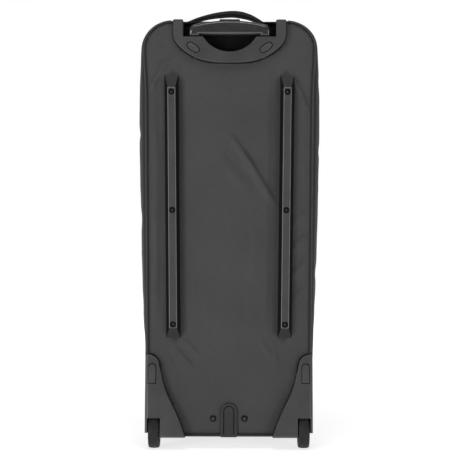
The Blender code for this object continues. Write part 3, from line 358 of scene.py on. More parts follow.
def woven_cloth(name, shade, pitch=0.0011, with_rail_painted_shade=False):
    """Heavy basket weave nylon on a piece's own weave map, which is in metres."""
    material, tree, shader = start_finish(name, 0.62)
    shader.inputs["Sheen Weight"].default_value = 0.10
    shader.inputs["Sheen Roughness"].default_value = 0.45
    place = add_node(tree, "ShaderNodeUVMap", uv_map="weave").outputs["UV"]
    split = add_node(tree, "ShaderNodeSeparateXYZ", {"Vector": place})
    turn = math.pi / pitch
    warp = yarn_row(tree, split.outputs["X"], turn)
    weft = yarn_row(tree, split.outputs["Y"], turn)
    over = add_node(tree, "ShaderNodeTexChecker", {"Vector": place, "Scale": 1 / pitch}).outputs["Fac"]
    yarn = add_node(tree, "ShaderNodeMix", {0: over, 2: warp, 3: weft}, data_type="FLOAT").outputs[0]
    spot = object_spot(tree)
    broad = math_node(tree, "MULTIPLY", clouds(tree, spot, 9.0, 4.0), 0.6)
    fine = math_node(tree, "MULTIPLY", clouds(tree, spot, 160.0, 2.0), 0.4)
    tone = math_node(tree, "ADD", broad, fine)
    cloth = between(tree, tone, grey(shade * 0.86), grey(shade * 1.14), 0.35, 0.65)
    # Painted shade in the dips between the yarns' round backs.
    furrow_shade = between(tree, yarn, grey(0.55), grey(1.0), 0.05, 0.55)
    colour = multiplied(tree, cloth, furrow_shade)
    # Darkens the cloth beside the rails with painted shade.
    if with_rail_painted_shade:
        colour = multiplied(tree, colour, rail_painted_shade(tree, spot))
    tree.links.new(colour, shader.inputs["Base Color"])
    raised(tree, shader, yarn, 0.00022, 0.5)
    return material


def moulded_plastic(name, shade, roughness=0.42, gloss=0.28, wear=1.0, grain=1400.0):
    """Charcoal moulded plastic with a fine spark grain, faint flow marks and rubbed edges."""
    material, tree, shader = start_finish(name, roughness)
    shader.inputs["Specular IOR Level"].default_value = gloss
    spot = object_spot(tree)
    marks = clouds(tree, spot, 26.0, 4.0)
    base = between(tree, marks, grey(shade * 0.90), grey(shade * 1.10))
    edge = add_node(tree, "ShaderNodeNewGeometry").outputs["Pointiness"]
    rub = between(tree, edge, grey(0.0), grey(1.0), 0.52, 0.60)
    worn = math_node(tree, "MULTIPLY", rub, clouds(tree, spot, 90.0, 3.0))
    colour = add_node(
        tree, "ShaderNodeMix", {0: worn, 6: base, 7: grey(shade * (1 + 0.9 * wear))}, data_type="RGBA"
    ).outputs[2]
    tree.links.new(colour, shader.inputs["Base Color"])
    sheen = between(tree, marks, grey(roughness * 0.88), grey(roughness * 1.12))
    tree.links.new(sheen, shader.inputs["Roughness"])
    pits = add_node(tree, "ShaderNodeTexVoronoi", {"Vector": spot, "Scale": grain}, feature="F1")
    raised(tree, shader, pits.outputs["Distance"], 0.00008, 0.35)
    return material


def brushed_metal(name, shade, roughness=0.28):
    material, tree, shader = start_finish(name, roughness, 1.0)
    spot = object_spot(tree)
    along = {"Vector": spot, "Scale": (900.0, 900.0, 12.0)}
    streaks = clouds(tree, add_node(tree, "ShaderNodeMapping", along).outputs["Vector"], 1.0, 2.0)
    tree.links.new(between(tree, streaks, grey(shade * 0.8), grey(shade * 1.15)), shader.inputs["Base Color"])
    raised(tree, shader, streaks, 0.00003, 0.3)
    return material


def glossy_grip(name, shade):
    """The grip's smooth hard plastic, polished by hands."""
    material, tree, shader = start_finish(name, 0.17)
    shader.inputs["IOR"].default_value = 1.6
    shader.inputs["Specular IOR Level"].default_value = 0.6
    spot = object_spot(tree)
    marks = clouds(tree, spot, 40.0, 5.0)
    tree.links.new(between(tree, marks, grey(shade * 0.85), grey(shade * 1.15)), shader.inputs["Base Color"])
    tree.links.new(between(tree, marks, grey(0.14), grey(0.22)), shader.inputs["Roughness"])
    raised(tree, shader, clouds(tree, spot, 300.0, 2.0), 0.000004, 0.05)
    return material


def rubber(name, shade):
    material, tree, shader = start_finish(name, 0.60)
    shader.inputs["Specular IOR Level"].default_value = 0.25
    spot = object_spot(tree)
    dust = clouds(tree, spot, 55.0, 5.0)
    tree.links.new(between(tree, dust, grey(shade * 0.8), grey(shade * 1.3)), shader.inputs["Base Color"])
    raised(tree, shader, clouds(tree, spot, 900.0, 2.0), 0.00006, 0.4)
    return material


# The body's cloth


def curve_value(rows, share, column):
    """A smooth value of the table's column at this share of its first column."""
    last = len(rows) - 2
    index = next((i for i in range(last) if share < rows[i + 1][0]), last)
    around = [rows[max(0, min(len(rows) - 1, index + step))] for step in (-1, 0, 1, 2)]
    (x0, y0), (x1, y1), (x2, y2), (x3, y3) = [(row[0], row[column]) for row in around]
    step = x2 - x1
    t = (share - x1) / step
    lead = (2 * t**3 - 3 * t**2 + 1) * y1 + (t**3 - 2 * t**2 + t) * step * (y2 - y0) / (x2 - x0)
    return lead + (3 * t**2 - 2 * t**3) * y2 + (t**3 - t**2) * step * (y3 - y1) / (x3 - x1)


def bulge_at(depth):
    """How far the side cloth has left the seam at this share of the depth: 0 at a seam, 1 at the widest."""
    return max(0.0, 1 - abs(2 * depth - 1) ** BULGE_POWER) ** (1 / BULGE_POWER)


def half_width(height, bulge):
    share = (height - BODY_BOTTOM) / (BODY_TOP - BODY_BOTTOM)
    seam = curve_value(SECTIONS, share, 1) * BODY_HALF_WIDTH
    widest = curve_value(SECTIONS, share, 2) * BODY_HALF_WIDTH
    return seam + (widest - seam) * bulge


def body_place(x, y, z):
    """Where a point of the square blank goes on the shaped body."""
    bulge = bulge_at((y - BACK_Y) / BODY_DEPTH)
    low = BODY_BOTTOM + SEAM_RISE * (1 - bulge)
    high = BODY_TOP - SEAM_DROP * (1 - bulge)
    first, last = BODY_BOTTOM + BODY_CORNER, BODY_TOP - BODY_CORNER
    if z < first:
        height = z + low - BODY_BOTTOM
    elif z > last:
        height = z + high - BODY_TOP
    else:
        share = (z - first) / (last - first)
        height = (low + BODY_CORNER) * (1 - share) + (high - BODY_CORNER) * share
    half = half_width(height, bulge)
    straight = BODY_HALF_WIDTH - BODY_CORNER
    if abs(x) <= straight:
        across = x * (half - BODY_CORNER) / straight
    else:
        across = math.copysign(abs(x) - BODY_HALF_WIDTH + half, x)
    return across, y, height


# Depth shares of the cloth's rings, closest together at the seams
TUB_RINGS = (
    *(0.008, 0.022, 0.045, 0.08, 0.125, 0.18, 0.24, 0.30),
    *(0.36, 0.42, 0.48, 0.54, 0.60, 0.66, 0.72, 0.76),
)
LID_RINGS = (0.84, 0.875, 0.91, 0.94, 0.965, 0.985)
CELL = 0.0072
CORNER_STEPS = 10
TAPE, TOOTH_PITCH = 0.0012, 0.0024

# Valleys beside each rail in metres: how far from the middle at the low and top end, half width, height
VALLEY_LOW, VALLEY_TOP = 0.240, 0.765
RAIL_VALLEYS = ((0.0900, 0.0950, 0.017, -0.0034), (0.1375, 0.1425, 0.013, -0.0024))
# Folds of the back panel in metres: both ends, half width, height out of the bag before its gain, and how
# much sharper its lower right side is
BACK_FOLDS = (
    (0.000, 0.330, 0.000, 0.700, 0.088, 0.0034, 0.0),
    (0.004, 0.640, 0.052, 0.575, 0.012, 0.0016, 0.6),
    (0.030, 0.605, 0.092, 0.505, 0.014, 0.0022, 0.7),
    (-0.020, 0.600, 0.030, 0.540, 0.018, 0.0010, 0.3),
    (-0.164, 0.735, -0.128, 0.800, 0.011, 0.0024, 0.4),
    (-0.160, 0.790, -0.140, 0.828, 0.010, 0.0014, 0.3),
    (0.130, 0.765, 0.162, 0.690, 0.012, 0.0022, 0.5),
    (0.138, 0.712, 0.160, 0.665, 0.010, 0.0012, 0.5),
    (0.132, 0.455, 0.158, 0.488, 0.010, 0.0016, 0.3),
    (0.130, 0.405, 0.158, 0.440, 0.010, 0.0020, 0.3),
    (0.130, 0.350, 0.156, 0.388, 0.011, 0.0018, 0.3),
    (0.132, 0.300, 0.154, 0.332, 0.010, 0.0014, 0.3),
    (-0.110, 0.205, -0.076, 0.168, 0.010, 0.0016, 0.4),
    (-0.090, 0.222, -0.060, 0.190, 0.009, 0.0012, 0.4),
    (-0.124, 0.190, -0.110, 0.150, 0.009, 0.0012, 0.3),
    (0.066, 0.222, 0.088, 0.188, 0.010, 0.0012, 0.3),
    (0.090, 0.215, 0.100, 0.170, 0.009, 0.0010, 0.3),
    (-0.150, 0.300, -0.146, 0.640, 0.012, 0.0012, 0.0),
    (0.148, 0.500, 0.150, 0.680, 0.012, 0.0010, 0.0),
    (-0.050, 0.240, -0.030, 0.520, 0.020, 0.0006, 0.0),
    (0.045, 0.250, 0.058, 0.470, 0.020, 0.0006, 0.0),
)
# Gains of the wide fold, of the high folds and of the low ones
WIDE_GAIN, HIGH_GAIN, LOW_GAIN = 1.5, 1.9, 1.6
# Folds of the side cloth: side, height, depth share, half length and half height in metres, how far in
SIDE_FOLDS = (
    (1, 0.760, 0.42, 0.11, 0.014, 0.0030),
    (1, 0.620, 0.30, 0.09, 0.016, 0.0026),
    (1, 0.520, 0.55, 0.12, 0.018, 0.0034),
    (1, 0.365, 0.35, 0.10, 0.016, 0.0030),
    (1, 0.250, 0.60, 0.11, 0.015, 0.0026),
    (1, 0.140, 0.45, 0.09, 0.013, 0.0022),
    (-1, 0.745, 0.50, 0.12, 0.015, 0.0030),
    (-1, 0.650, 0.28, 0.09, 0.013, 0.0022),
    (-1, 0.480, 0.45, 0.12, 0.018, 0.0034),
    (-1, 0.330, 0.60, 0.10, 0.015, 0.0026),
    (-1, 0.225, 0.32, 0.10, 0.016, 0.0030),
    (-1, 0.130, 0.50, 0.09, 0.013, 0.0020),
)


def spread(first, last, step):
    """Even levels between two ends, without the ends."""
    count = max(1, round((last - first) / step))
    return [first + (last - first) * i / count for i in range(1, count)]


def start_blank():
    """The body's square blank with round corners, cut into cloth cells."""
    front = BACK_Y + BODY_DEPTH
    low = (-BODY_HALF_WIDTH, BACK_Y, BODY_BOTTOM)
    blank = start_box("body_blank", low, (BODY_HALF_WIDTH, front, BODY_TOP))
    begin_edit(blank, "EDGE")
    choose(blank, "edges", lambda e: longer(e, 1, BODY_DEPTH / 2))
    bpy.ops.mesh.bevel(offset=BODY_CORNER, segments=CORNER_STEPS, affect="EDGES")
    arc = [BODY_CORNER * (1 - math.cos(math.pi / 2 * i / CORNER_STEPS)) for i in range(1, CORNER_STEPS + 1)]
    across = [side * (BODY_HALF_WIDTH - inset) for inset in arc for side in (-1, 1)]
    across += spread(BODY_CORNER - BODY_HALF_WIDTH, BODY_HALF_WIDTH - BODY_CORNER, CELL)
    up = [BODY_BOTTOM + inset for inset in arc] + [BODY_TOP - inset for inset in arc]
    up += spread(BODY_BOTTOM + BODY_CORNER, BODY_TOP - BODY_CORNER, CELL)
    half_zip = ZIP_WIDTH / 2 / BODY_DEPTH
    rings = [*TUB_RINGS, ZIP_DEPTH - half_zip, ZIP_DEPTH + half_zip, *LID_RINGS]
    deep = [BACK_Y + share * BODY_DEPTH for share in rings]
    for normal, levels in (((1, 0, 0), across), ((0, 0, 1), up), ((0, 1, 0), deep)):
        for level in levels:
            select_all()
            point = [level * part for part in normal]
            bpy.ops.mesh.bisect(plane_co=point, plane_no=normal, threshold=0.00002)
    end_edit()
    return blank


def along_edge(x, z):
    """Distance round the body's edge from the middle of the bottom."""
    x = abs(x)
    straight = BODY_HALF_WIDTH - BODY_CORNER
    first, last = BODY_BOTTOM + BODY_CORNER, BODY_TOP - BODY_CORNER
    quarter = math.pi / 2 * BODY_CORNER
    if z < first and x > straight:
        return straight + math.atan2(x - straight, first - z) * BODY_CORNER
    if z <= first:
        return x
    if z < last:
        return straight + quarter + z - first
    if x > straight:
        return straight + quarter + last - first + math.atan2(z - last, x - straight) * BODY_CORNER
    return straight + 2 * quarter + last - first + straight - x


def lay_weave(obj):
    """The weave map in metres: flat on the panels, and unrolled along the band."""
    layer = obj.data.uv_layers.new(name="weave")
    for face in obj.data.polygons:
        flat = abs(face.normal.y) > 0.9
        for loop in face.loop_indices:
            x, y, z = obj.data.vertices[obj.data.loops[loop].vertex_index].co
            layer.data[loop].uv = (x, z) if flat else (along_edge(x, z), y)


def keep_faces(blank, name, test):
    """A new piece from the blank's faces that pass the test."""
    piece = duplicated(blank, name)
    begin_edit(piece)
    choose(piece, "faces", lambda face: not test(face.calc_center_median()))
    bpy.ops.mesh.delete(type="FACE")
    end_edit()
    return piece


def rim_distance(x, z):
    """How far a point of the back panel is from its seam, round the corners too."""
    low, high = BODY_BOTTOM + SEAM_RISE, BODY_TOP - SEAM_DROP
    across = abs(x) - half_width(z, 0.0) + BODY_CORNER
    up = max(low + BODY_CORNER - z, z - high + BODY_CORNER)
    if across > 0 and up > 0:
        return BODY_CORNER - math.hypot(across, up)
    return BODY_CORNER - max(across, up)


def rim_fade(x, z, reach=0.016):
    """0 at the back seam, 1 from a little way in."""
    share = max(0.0, min(1.0, rim_distance(x, z) / reach))
    return share * share * (3 - 2 * share)


def list_folds():
    """The valleys beside both rails, and the back panel's folds to a tenth of a millimetre."""
    folds = []
    for low, top, reach, amount in RAIL_VALLEYS:
        folds += [(side * low, VALLEY_LOW, side * top, VALLEY_TOP, reach, amount, 0.0) for side in (1, -1)]
    for *ends, reach, amount, sharp in BACK_FOLDS:
        gain = WIDE_GAIN if reach > 0.05 else HIGH_GAIN if amount >= 0.0016 else LOW_GAIN
        folds.append((*ends, reach, round(amount * gain, 4), sharp))
    return folds


FOLDS = list_folds()


def fold_height(x, z):
    """How far the folds stand out of the back panel at this point."""
    height = 0.0
    for x1, z1, x2, z2, reach, amount, sharp in FOLDS:
        dx, dz = x2 - x1, z2 - z1
        length = math.hypot(dx, dz)
        share = ((x - x1) * dx + (z - z1) * dz) / length**2
        beyond = max(0.0, -share, share - 1.0) * length
        side = ((x - x1) * dz - (z - z1) * dx) / length
        side /= reach * (1 - sharp * 0.6) if side < 0 else reach
        reach_end = beyond / (reach * 1.6)
        distance = side * side + reach_end * reach_end
        if distance < 1:
            ends = min(1.0, max(0.0, min(share, 1 - share)) * 4 + 0.35) if beyond == 0 else 0.35
            height += amount * (1 - distance) ** 2 * ends
    return height


def cloth_noise(place, scale, seed):
    return noise.noise(Vector(place) * scale + Vector((seed, seed * 0.7, seed * 1.3)))


def shape_cloth(obj):
    """Moves the blank's points to the shaped body."""
    places = [body_place(*place) for place in vertices_of(obj)]
    move_vertices(obj, places)


def crease_back(obj):
    """Puts the folds and the slight unevenness of loose cloth into the back panel."""
    places = vertices_of(obj)
    for place in places:
        x, y, z = place
        fade = rim_fade(x, z)
        uneven = cloth_noise((x, 0, z * 0.6), 16, 3) * 0.0009 + cloth_noise((x, 0, z), 48, 9) * 0.00035
        place[1] = y - (fold_height(x, z) + uneven) * fade
    move_vertices(obj, places)


def crease_band(obj):
    """Lets the side cloth sag in soft folds, which fade out at both seams."""
    places = vertices_of(obj)
    middle_z = (BODY_BOTTOM + BODY_TOP) / 2
    for place in places:
        x, y, z = place
        depth = (y - BACK_Y) / BODY_DEPTH
        fade = max(0.0, min(1.0, depth / 0.12, (ZIP_DEPTH - 0.02 - depth) / 0.12))
        inwards = 0.0
        for side, height, middle, long, tall, amount in SIDE_FOLDS:
            if side * x > 0:
                run = (y - BACK_Y - middle * BODY_DEPTH) / long
                lean = height + run * tall * 0.8
                inwards += amount * max(0.0, 1 - run * run) ** 2 * math.exp(-(((z - lean) / tall) ** 2))
        inwards += cloth_noise((x, y, z), 11, 5) * 0.0016 + cloth_noise((x, y, z), 34, 8) * 0.0005
        straight = BODY_HALF_WIDTH - BODY_CORNER
        if abs(x) > straight:
            place[0] -= math.copysign(inwards * fade, x)
        else:
            place[2] -= math.copysign(inwards * fade, z - middle_z)
    move_vertices(obj, places)


def crown_lid(obj):
    """The lid's front stands out a little, with loose cloth's unevenness."""
    places = vertices_of(obj)
    front = BACK_Y + BODY_DEPTH
    for place in places:
        x, y, z = place
        if y > front - 0.0001:
            share = (z - BODY_BOTTOM) / (BODY_TOP - BODY_BOTTOM)
            across = min(1.0, abs(x) / BODY_HALF_WIDTH)
            crown = LID_CROWN * (1 - across**2) ** 0.5 * (1 - abs(2 * share - 1) ** 4)
            uneven = cloth_noise((x, 0, z * 0.7), 9, 21) * 0.0016 + cloth_noise((x, 0, z), 30, 4) * 0.0005
            place[1] = y + (crown + uneven - 0.0012) * rim_fade(x, z, 0.03)
    move_vertices(obj, places)


def sink_tape(obj):
    """The zip's tape lies a little lower than the cloth at both sides."""
    normals = np.zeros(len(obj.data.vertices) * 3)
    obj.data.vertices.foreach_get("normal", normals)
    move_vertices(obj, vertices_of(obj) - normals.reshape(-1, 3) * 0.0009)


def thicken(obj, thickness=CLOTH):
    apply_modifier(obj, "SOLIDIFY", thickness=thickness, offset=-1.0, use_even_offset=True)


def smooth_cloth(obj):
    apply_modifier(obj, "SUBSURF", levels=1, render_levels=1, boundary_smooth="PRESERVE_CORNERS")


def in_seam_shade(face):
    """Whether a face of the back cloth lies in the band of painted shade along its seam."""
    x, y, z = face.center
    return y < BACK_Y + SEAM_SHADE_DEPTH and rim_distance(x, z) < SEAM_SHADE_REACH


def build_body():
    """The back panel, the band round it, and the lid, from one blank."""
    blank = start_blank()
    back_edge = BACK_Y + (ZIP_DEPTH * BODY_DEPTH - ZIP_WIDTH / 2)
    front_edge = BACK_Y + (ZIP_DEPTH * BODY_DEPTH + ZIP_WIDTH / 2)
    cloth = woven_cloth("body_nylon", CLOTH_SHADE)
    pieces = {
        "back_cloth": (lambda middle: middle.y < BACK_Y + 0.0001, crease_back),
        "side_cloth": (lambda middle: BACK_Y + 0.0001 < middle.y < back_edge, crease_band),
        "lid_cloth": (lambda middle: middle.y > front_edge, crown_lid),
        "zip_tape": (lambda middle: back_edge < middle.y < front_edge, sink_tape),
    }
    made = {}
    for name, (test, crease) in pieces.items():
        piece = keep_faces(blank, name, test)
        lay_weave(piece)
        shape_cloth(piece)
        smooth_cloth(piece)
        crease(piece)
        thicken(piece, TAPE if name == "zip_tape" else CLOTH)
        made[name] = piece
    bpy.data.objects.remove(blank)
    cut_openings([made["back_cloth"], made["side_cloth"]])
    # Dark cloth finish for the painted shade along the back seam.
    seam_shade = woven_cloth("seam_shade_weave", 0.004, 0.0007)
    # The back panel's nylon, with painted shade beside the rails.
    back = woven_cloth("back_nylon_rail_shade", CLOTH_SHADE, with_rail_painted_shade=True)
    finish_piece(made["back_cloth"], back, "bag", "body_cloth", "bag_body")
    finish_piece(made["side_cloth"], woven_cloth("side_nylon_painted_shade", SIDE_PAINTED_SHADE), "bag", "body_cloth")
    finish_piece(made["lid_cloth"], cloth, "bag", "lid_cloth", "bag_lid", angle=50)
    tape = woven_cloth("tape_weave", 0.014, 0.0007)
    finish_piece(made["zip_tape"], tape, "bag", "zip_tape", "lid_zip", angle=50)
    # Both cloths get the painted seam shade next to the back seam.
    paint_faces(made["side_cloth"], seam_shade, lambda face: face.center.y < BACK_Y + SEAM_SHADE_DEPTH)
    paint_faces(made["back_cloth"], seam_shade, in_seam_shade)
    return made


# Shaping hard pieces


def outline_block(name, outline, low, high, plane="XZ"):
    """An outline's points, extruded from low to high along the axis that the plane leaves out."""
    bpy.ops.mesh.primitive_circle_add(vertices=len(outline), fill_type="NGON")
    obj = named(name)
    if plane == "XZ":
        places, step = [(a, low, b) for a, b in outline], (0, high - low, 0)
    elif plane == "YZ":
        places, step = [(low, a, b) for a, b in outline], (high - low, 0, 0)
    else:
        places, step = [(a, b, low) for a, b in outline], (0, 0, high - low)
    move_vertices(obj, places)
    begin_edit(obj)
    select_all()
    bpy.ops.mesh.extrude_region_move(TRANSFORM_OT_translate={"value": step})
    select_all()
    bpy.ops.mesh.normals_make_consistent(inside=False)
    end_edit()
    return obj


def round_off(obj, width, segments=3, angle=35):
    apply_modifier(
        obj, "BEVEL", width=width, segments=segments, limit_method="ANGLE", angle_limit=math.radians(angle)
    )


def round_edges(obj, width, segments, test):
    """Rounds only the edges that pass the test."""
    begin_edit(obj, "EDGE")
    choose(obj, "edges", test)
    bpy.ops.mesh.bevel(offset=width, segments=segments, affect="EDGES")
    end_edit()


def weigh(obj):
    """Lets the large flat faces lead the shading."""
    apply_modifier(obj, "WEIGHTED_NORMAL", keep_sharp=True, weight=60)


def rolled(name, rows, turns, place, width, length, closed=True):
    """A sheet rolled into a tube: place gives the point at a share of its length and of its turn.

    Its weave map is the sheet itself, width by length in metres.
    """
    bpy.ops.mesh.primitive_grid_add(x_subdivisions=turns, y_subdivisions=rows, size=1, calc_uvs=True)
    obj = named(name)
    layer = obj.data.uv_layers[0]
    layer.name = "weave"
    for row in layer.data:
        row.uv = (row.uv[0] * width, row.uv[1] * length)
    move_vertices(obj, [place(y + 0.5, x + 0.5) for x, y, _ in vertices_of(obj)])
    begin_edit(obj, "EDGE")
    select_all()
    bpy.ops.mesh.remove_doubles(threshold=0.000001)
    if closed:
        select_all()
        bpy.ops.mesh.fill_holes(sides=0)
    select_all()
    bpy.ops.mesh.normals_make_consistent(inside=False)
    end_edit()
    return obj


def repeated(name, base, frames):
    """One mesh with a copy of the base at each frame: its middle and the directions of its x, y and z."""
    shape = vertices_of(base)
    faces = [tuple(face.vertices) for face in base.data.polygons]
    count = len(shape)
    places = [np.asarray(middle) + shape @ np.array([x, y, z], float) for middle, x, y, z in frames]
    mesh = bpy.data.meshes.new(name)
    mesh.from_pydata(
        np.concatenate(places).tolist(),
        [],
        [tuple(i + copy * count for i in face) for copy in range(len(frames)) for face in faces],
    )
    obj = bpy.data.objects.new(name, mesh)
    bpy.context.scene.collection.objects.link(obj)
    bpy.data.objects.remove(base)
    return obj


def carve(obj, cutter, operation="DIFFERENCE", keep=False):
    apply_modifier(obj, "BOOLEAN", operation=operation, object=cutter, solver="MANIFOLD")
    if not keep:
        bpy.data.objects.remove(cutter)


def cylinder(name, radius, centre, length, axis="Y", steps=40):
    turns = {"X": (0, math.pi / 2, 0), "Y": (math.pi / 2, 0, 0), "Z": (0, 0, 0)}
    bpy.ops.mesh.primitive_cylinder_add(
        vertices=steps, radius=radius, depth=length, location=centre, rotation=turns[axis]
    )
    obj = named(name)
    bpy.ops.object.transform_apply(location=True, rotation=True, scale=True)
    return obj


def dome(name, place, radius, cut, segments):
    """The half of a ball that faces the back, cut off flat at this Y."""
    bpy.ops.mesh.primitive_uv_sphere_add(
        segments=segments, ring_count=segments // 2, radius=radius, location=place
    )
    obj = named(name)
    bpy.ops.object.transform_apply(location=True)
    begin_edit(obj)
    select_all()
    bpy.ops.mesh.bisect(plane_co=(0, cut, 0), plane_no=(0, 1, 0), clear_outer=True, use_fill=True)
    end_edit()
    return obj


def turned(name, profile, centre, steps=64):
    """A closed (radius, height) profile spun round an axis that runs along X through the centre."""
    bpy.ops.mesh.primitive_circle_add(vertices=len(profile), fill_type="NOTHING")
    obj = named(name)
    centre = Vector(centre)
    move_vertices(obj, [centre + Vector((height, 0, radius)) for radius, height in profile])
    begin_edit(obj, "VERT")
    select_all()
    bpy.ops.mesh.spin(steps=steps, angle=2 * math.pi, center=centre, axis=(1, 0, 0))
    select_all()
    bpy.ops.mesh.remove_doubles(threshold=0.00001)
    bpy.ops.mesh.normals_make_consistent(inside=False)
    end_edit()
    return obj


def mirrored(obj, name):
    """The same piece on the other side, with its own mesh."""
    copy = duplicated(obj, name)
    places = vertices_of(copy)
    places[:, 0] *= -1
    move_vertices(copy, places)
    copy.data.flip_normals()
    return copy


def turn_shape(obj, angle, axis, centre):
    places = vertices_of(obj)
    centre = Vector(centre)
    turn = Matrix.Rotation(angle, 3, axis)
    move_vertices(obj, [centre + turn @ (Vector(place) - centre) for place in places])


# Skid rails


def rail_x(height):
    share = (height - RAIL_LOW) / (RAIL_TOP - RAIL_LOW)
    return RAIL_X_LOW + (RAIL_X_TOP - RAIL_X_LOW) * share


def build_rail():
    """The shape of the right rail: steep flanks, a ramp at each end and a flat face with screw recesses."""
    half = RAIL_BASE_WIDTH / 2
    middle = rail_x((RAIL_LOW + RAIL_TOP) / 2)
    rail = start_box(
        "rail_shape", (middle - half, RAIL_FACE, RAIL_LOW), (middle + half, BACK_Y - GAP, RAIL_TOP)
    )
    places = vertices_of(rail)
    for place in places:
        if place[1] < BACK_Y - RAIL_HEIGHT / 2:
            place[0] = middle + (place[0] - middle) * RAIL_FLAT_WIDTH / RAIL_BASE_WIDTH
            place[2] += RAIL_RAMP_LOW if place[2] < RAIL_TOP / 2 else -RAIL_RAMP_TOP
    move_vertices(rail, places)
    round_off(rail, 0.0014, 3, 20)
    for height in SCREW_HEIGHTS.values():
        hole = cylinder("hole", SCREW_RECESS_RADIUS, (middle, RAIL_FACE, height), 2 * SCREW_RECESS_DEPTH)
        carve(rail, hole)
    places = vertices_of(rail)
    places[:, 0] += [rail_x(place[2]) - middle for place in places]
    move_vertices(rail, places)
    return rail


def build_screw(name, x, height):
    """A cup washer, painted dark as the shade round the head, with a small bright domed head that has a cross
    cut in it.
    """
    seat = RAIL_FACE + SCREW_RECESS_DEPTH - GAP
    washer = cylinder(f"{name}_washer", 0.0058, (x, seat - 0.0006, height), 0.0012)
    round_off(washer, 0.0004, 2)
    head = dome(name, (x, seat, height), 0.0034, seat - 0.0006, 32)
    for turn in (0, math.pi / 2):
        low = (x - 0.0019, seat - 0.006, height - 0.0004)
        slot = start_box("slot", low, (x + 0.0019, seat - 0.0022, height + 0.0004))
        turn_shape(slot, turn + 0.6, "Y", (x, seat, height))
        carve(head, slot)
    return head, washer


def build_rails(finishes):
    shape = build_rail()
    for name, side in SIDES.items():
        rail = mirrored(shape, "skid_rail_left") if side < 0 else shape
        rail.name = rail.data.name = f"skid_rail_{name}"
        finish_piece(rail, finishes["rail"], "bag", "rail_plastic", f"rail_{name}", angle=25)
        for part in ("rail_flank_shade", "rail_ramp_tone_and_shade", "rail_edge_highlight"):
            rail.data.materials.append(finishes[part])
        for face in rail.data.polygons:
            # The ramps are darker: partly a darker base moulding and partly painted shade.
            if abs(face.normal.z) > 0.4 and face.normal.y < -0.3:
                face.material_index = 2
            # The flanks and the floors of the screw recesses take a very dark finish: painted shade on the
            # same plastic.
            elif face.normal.y > -0.80 or (face.center.y > RAIL_FACE + 0.003 and face.normal.y < -0.9):
                face.material_index = 1
            # The rounded edges round the flat face are painted lighter, as a highlight.
            elif face.normal.y > -0.985:
                face.material_index = 3
        for place, height in SCREW_HEIGHTS.items():
            title = f"rail_bolt_{name}_{place}"
            head, washer = build_screw(title, side * rail_x(height), height)
            node = f"rail_screw_{name}_{place}"
            finish_piece(head, finishes["screw"], "bag", "screw_metal", node, angle=35)
            finish_piece(washer, finishes["shade_dark"], "bag", "screw_metal", angle=35)


# Handle plate


def plate_low_edge(grow, steps=24, turn=0.86):
    """The plate's curved low edge, with a soft turn up into its two sides."""
    drop = PLATE_SIDE_LOW - PLATE_LOW
    shares = [turn * step / steps for step in range(steps + 1)]
    right = [(share, PLATE_LOW + drop * share**PLATE_CURVE) for share in shares]
    start = right[-1]
    middle = (1.0, start[1] + drop * PLATE_CURVE * turn ** (PLATE_CURVE - 1) * (1 - turn))
    end = (1.0, PLATE_SIDE_LOW + 0.014)
    for step in range(1, 11):
        t = step / 10
        corners = zip(start, middle, end)
        right.append(tuple((1 - t) ** 2 * a + 2 * t * (1 - t) * b + t * t * c for a, b, c in corners))
    points = [(-share, up) for share, up in right[:0:-1]] + right
    return [(share * (PLATE_HALF_WIDTH + grow), up - grow * (1 + abs(share))) for share, up in points]


def plate_outline():
    steps = 32
    reach = math.acos((BOWL_LOW + BOWL_RADIUS - SEAT_TOP) / BOWL_RADIUS)
    bowl = []
    for step in range(steps + 1):
        turn = reach * (1 - 2 * step / steps)
        bowl.append((BOWL_RADIUS * math.sin(turn), BOWL_LOW + BOWL_RADIUS * (1 - math.cos(turn))))
    wide, seat = PLATE_HALF_WIDTH, PLATE_HALF_WIDTH - EAR_WIDTH
    right = [(wide, PLATE_TOP), (seat, PLATE_TOP), (seat, SEAT_TOP)]
    left = [(-seat, SEAT_TOP), (-seat, PLATE_TOP), (-wide, PLATE_TOP)]
    return [*plate_low_edge(0.0), *right, *bowl, *left]


def oval(length, width, steps=40, power=2.6):
    """A soft-cornered oval."""
    points = []
    for step in range(steps):
        turn = 2 * math.pi * step / steps
        c, s = math.cos(turn), math.sin(turn)
        size = (abs(c) ** power + abs(s) ** power) ** (-1 / power)
        points.append((c * size * length / 2, s * size * width / 2))
    return points


def place_oval(obj, side):
    places = vertices_of(obj)
    turn = Matrix.Rotation(-side * CAP_TILT, 3, "Y")
    centre = Vector((side * CAP_X, PLATE_REAR, CAP_Z))
    move_vertices(obj, [centre + turn @ Vector(place) for place in places])


def in_oval(point, side):
    """Whether a point of the plate is in the recess of this side's cap."""
    across, up = point.x - side * CAP_X, point.z - CAP_Z
    c, s = math.cos(CAP_TILT), math.sin(CAP_TILT) * side
    along, through = across * c + up * s, up * c - across * s
    return abs(along) < CAP_LENGTH / 2 + GAP and abs(through) < CAP_WIDTH / 2 + GAP


def in_shaded_plate_hollow(face):
    """Whether a face of the plate lies in its bowl, in a cap's recess or inside the bag, where it is painted
    dark as shade.
    """
    x, y, z = face.center
    seat = PLATE_HALF_WIDTH - EAR_WIDTH
    in_bowl = y > PLATE_REAR + 0.0035 and abs(x) < seat + 0.0005 and z > BOWL_LOW - 0.001
    in_recess = PLATE_REAR + 0.0004 < y < PLATE_REAR + 0.0030 and in_oval(face.center, math.copysign(1, x))
    return y > BACK_Y + 0.004 or in_bowl or in_recess


